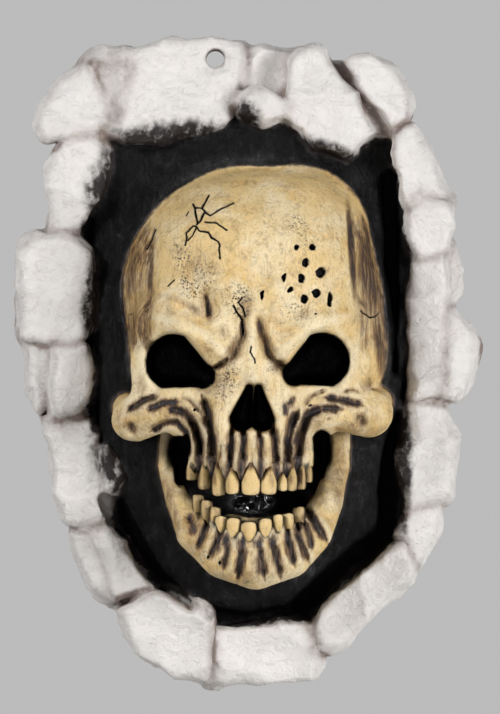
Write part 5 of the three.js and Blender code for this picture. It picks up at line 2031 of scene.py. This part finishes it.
        # Painted highlight on what stands proud, with the cream patches on the bone and lighter grey on the
        # skin's lower right folds.
        ridge = np.maximum.reduce([
            eased(1.5 * proud(self.crest_step) - 0.15), 0.7 * self.skin.greyed_at(points) * (1 - bone),
            skull.shares_at(points, skull.cream_patches) * bone * (0.8 + 0.4 * waver),
        ])

        hollow = eased((skull.hollows_at(points) - 0.9 + 0.7 * waver) / 1.6)
        # Painted shadow: black in the skin's shut-in channels, together with the black sprayed into them.
        lining_black = eased(1.2 * shut(self.channel_step) - 0.3)
        lining_black = np.maximum(self.skin.channel_at(points), lining_black) * (1 - bone)
        # Black paint in the hollows, cracks, pits, jaw openings and round the teeth, with painted shadow at
        # the skin's edge and in its channels.
        black = np.maximum.reduce([
            hollow * bone, marks, 0.9 * self.teeth.outline_at(points), skull.blacked_at(points),
            0.8 * eased(1.05 - lining / 3.2), lining_black * (1 - rim),
        ])
        self.paint(
            mesh, bone=bone, plaster=rim, ridge=ridge, stain=stain, crease=crease, soot=soot,
            pores=skull.shares_at(points, skull.pore_patches), tooth=np.zeros(len(points)), black=black,
            wet=skull.wet_at(points),
        )

    def near_hole(self, points: Array, reach: float) -> Array:
        """How near points of the rim lie to the edge that the hole was broken along.

        Args:
            points: The points in millimetres, one a row.
            reach: How far from the edge it fades out, in millimetres.

        Returns:
            A value from 0 to 1 for each point.
        """
        middle = SKULL_SHEET.place(*SKULL_SHEET.pin, 0)
        inwards = np.array([middle.x, 0, middle.z]) - points * (1, 0, 1)
        step = reach * inwards / np.linalg.norm(inwards, axis=1)[:, None]
        beyond = self.rim.distance_at(points + step) + 1.5 * Grain((3, 3, 3), 35).at(points)
        outside = Outline(self.skin.corners, self.skin.corner).distance(*PLAQUE_SHEET.squares(points + step))
        return eased(beyond / reach) * eased(1.5 - outside / 20)

    def dress_teeth(self, mesh: Mesh) -> None:
        """Paints the teeth: ochre, darker at the gum, with painted shade on their sides and towards the back
        of the arch, black painted shadow where their sides turn away, and a painted highlight towards the
        biting edge.

        Args:
            mesh: The teeth's mesh.
        """
        along = self.take(mesh, "along")
        points, normals = self.surface(mesh)
        # Painted shade on the sides that turn away from the front; those turned furthest are painted black as
        # shadow.
        side = eased((0.84 + normals[:, 1]) / 0.45)
        neck = eased((0.34 - along) / 0.24)
        off = np.abs(self.teeth.off(SKULL_SHEET.columns(points[:, 0])))
        # Painted shade towards the back of the arch, with random brown.
        shaded = 0.34 * eased((off - 0.5) / 0.35)
        shaded = shaded + 0.4 * eased(Grain((3, 3, 9), 37).at(points) + 0.1)
        none, full = np.zeros(len(points)), np.ones(len(points))
        # The ridge value is a painted highlight towards the biting edge.
        self.paint(
            mesh, bone=full, plaster=none, ridge=0.9 * eased((along - 0.55) / 0.4), crease=none,
            soot=none, pores=none, tooth=full, stain=np.maximum.reduce([0.5 * side, 0.68 * neck, shaded]),
            black=eased((side - 0.45) / 0.5), wet=none,
        )

    @staticmethod
    def join(piece: Object, added: Object) -> None:
        """Makes two objects one piece."""
        with bpy.context.temp_override(active_object=piece, selected_editable_objects=[piece, added]):
            bpy.ops.object.join()


@dataclass(frozen=True)
class Softbox:
    """A square soft light, at its place and aimed at the plaque's middle."""

    place: Place
    size: float
    power: float

    def build(self, name: str, aim: Vector) -> None:
        """Hangs the light.

        Args:
            name: The light's name.
            aim: The place that it looks at.
        """
        light = bpy.data.lights.new(name, "AREA")
        light.shape, light.size, light.energy = "SQUARE", self.size, self.power
        holder = placed(name, light)
        holder.location = self.place
        holder.rotation_euler = (aim - holder.location).to_track_quat("-Z", "Y").to_euler()


@dataclass(frozen=True)
class Studio:
    """The camera, the soft lights and the pale floor far below the hung plaque."""

    frame_height: float = 0.5037
    middle: Point = (0.0247, -0.2117)
    sharp_depth: float = 0.06
    distance: float = 5.0
    sensor: float = 36.0
    floor_below: float = 1.6
    floor_radius: float = 12.0
    floor_sides: int = 96
    pale: Colour = srgb(222, 222, 220)
    shaded: Colour = srgb(200, 200, 198)
    background: float = 0.5
    floor_glow: float = 0.5
    fill: float = 0.13
    lights: tuple[Softbox, ...] = (
        Softbox((-1.9, -1.6, 0.85), 0.7, 44),
        Softbox((1.9, -1.6, -0.2), 0.8, 46),
        Softbox((-0.2, -3.4, -0.6), 0.9, 10),
        Softbox((0.5, 2.6, 0.6), 1.2, 30),
    )

    def build(self) -> None:
        """Sets the studio up."""
        aim = Vector((self.middle[0], 0, self.middle[1]))
        camera = bpy.data.cameras.new("camera")
        camera.sensor_width = self.sensor
        camera.lens = self.sensor * self.distance / self.frame_height
        camera.clip_end = 100
        holder = placed("camera", camera)
        holder.location = (aim.x, -self.distance - self.sharp_depth, aim.z)
        holder.rotation_euler = (math.pi / 2, 0, 0)
        bpy.context.scene.camera = holder
        bpy.context.scene.view_settings.view_transform = "Standard"
        for n, light in enumerate(self.lights):
            light.build(f"softbox_{n}", aim)
        self.build_world()
        self.build_floor(aim)

    def build_world(self) -> None:
        """Surrounds the plaque with pale grey, dimmer as light than to the eye."""
        world = bpy.data.worlds.new("studio")
        bpy.context.scene.world = world
        box = PaintMixer(world)
        seen = box.node("ShaderNodeLightPath").outputs["Is Camera Ray"]
        level = box.node("ShaderNodeMapRange", Value=seen, To_Min=self.fill, To_Max=self.background)
        sky = box.node("ShaderNodeBackground", Color=(1, 1, 1, 1), Strength=level.outputs["Result"])
        box.node("ShaderNodeOutputWorld", Surface=sky.outputs["Background"])

    def build_floor(self, aim: Vector) -> None:
        """Lays the floor.

        Args:
            aim: The place that the camera looks at.
        """
        work = bmesh.new()
        bmesh.ops.create_circle(work, cap_ends=True, radius=self.floor_radius, segments=self.floor_sides)
        bmesh.ops.translate(work, verts=work.verts, vec=(aim.x, 0, aim.z - self.floor_below))
        mesh = bpy.data.meshes.new("floor")
        work.to_mesh(mesh)
        work.free()
        paper = bpy.data.materials.new("pale floor")
        box = PaintMixer(paper)
        grey = box.mix(box.span(box.noise(3, 2), 0.3, 0.7, 0, 0.1), self.pale, self.shaded)
        seen = box.node("ShaderNodeLightPath").outputs["Is Camera Ray"]
        shader = box.node(
            "ShaderNodeBsdfPrincipled", Base_Color=grey, Emission_Color=grey, Roughness=0.9,
            Emission_Strength=box.span(seen, 0, 1, 0, self.floor_glow),
        )
        box.node("ShaderNodeOutputMaterial", Surface=shader.outputs["BSDF"])
        mesh.materials.append(paper)
        floor = placed("floor", mesh)


def main() -> None:
    """Builds the studio and the plaque."""
    logging.basicConfig(level=logging.INFO, format="%(name)s: %(message)s")
    Studio().build()
    LOG.info("studio: camera, lights and floor")
    casting = Casting().build()
    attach(casting, "root")
    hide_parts(PLAQUE_NODE)
    LOG.info("painted casting: %d faces", len(casting.data.polygons))


if __name__ == "__main__":
    main()
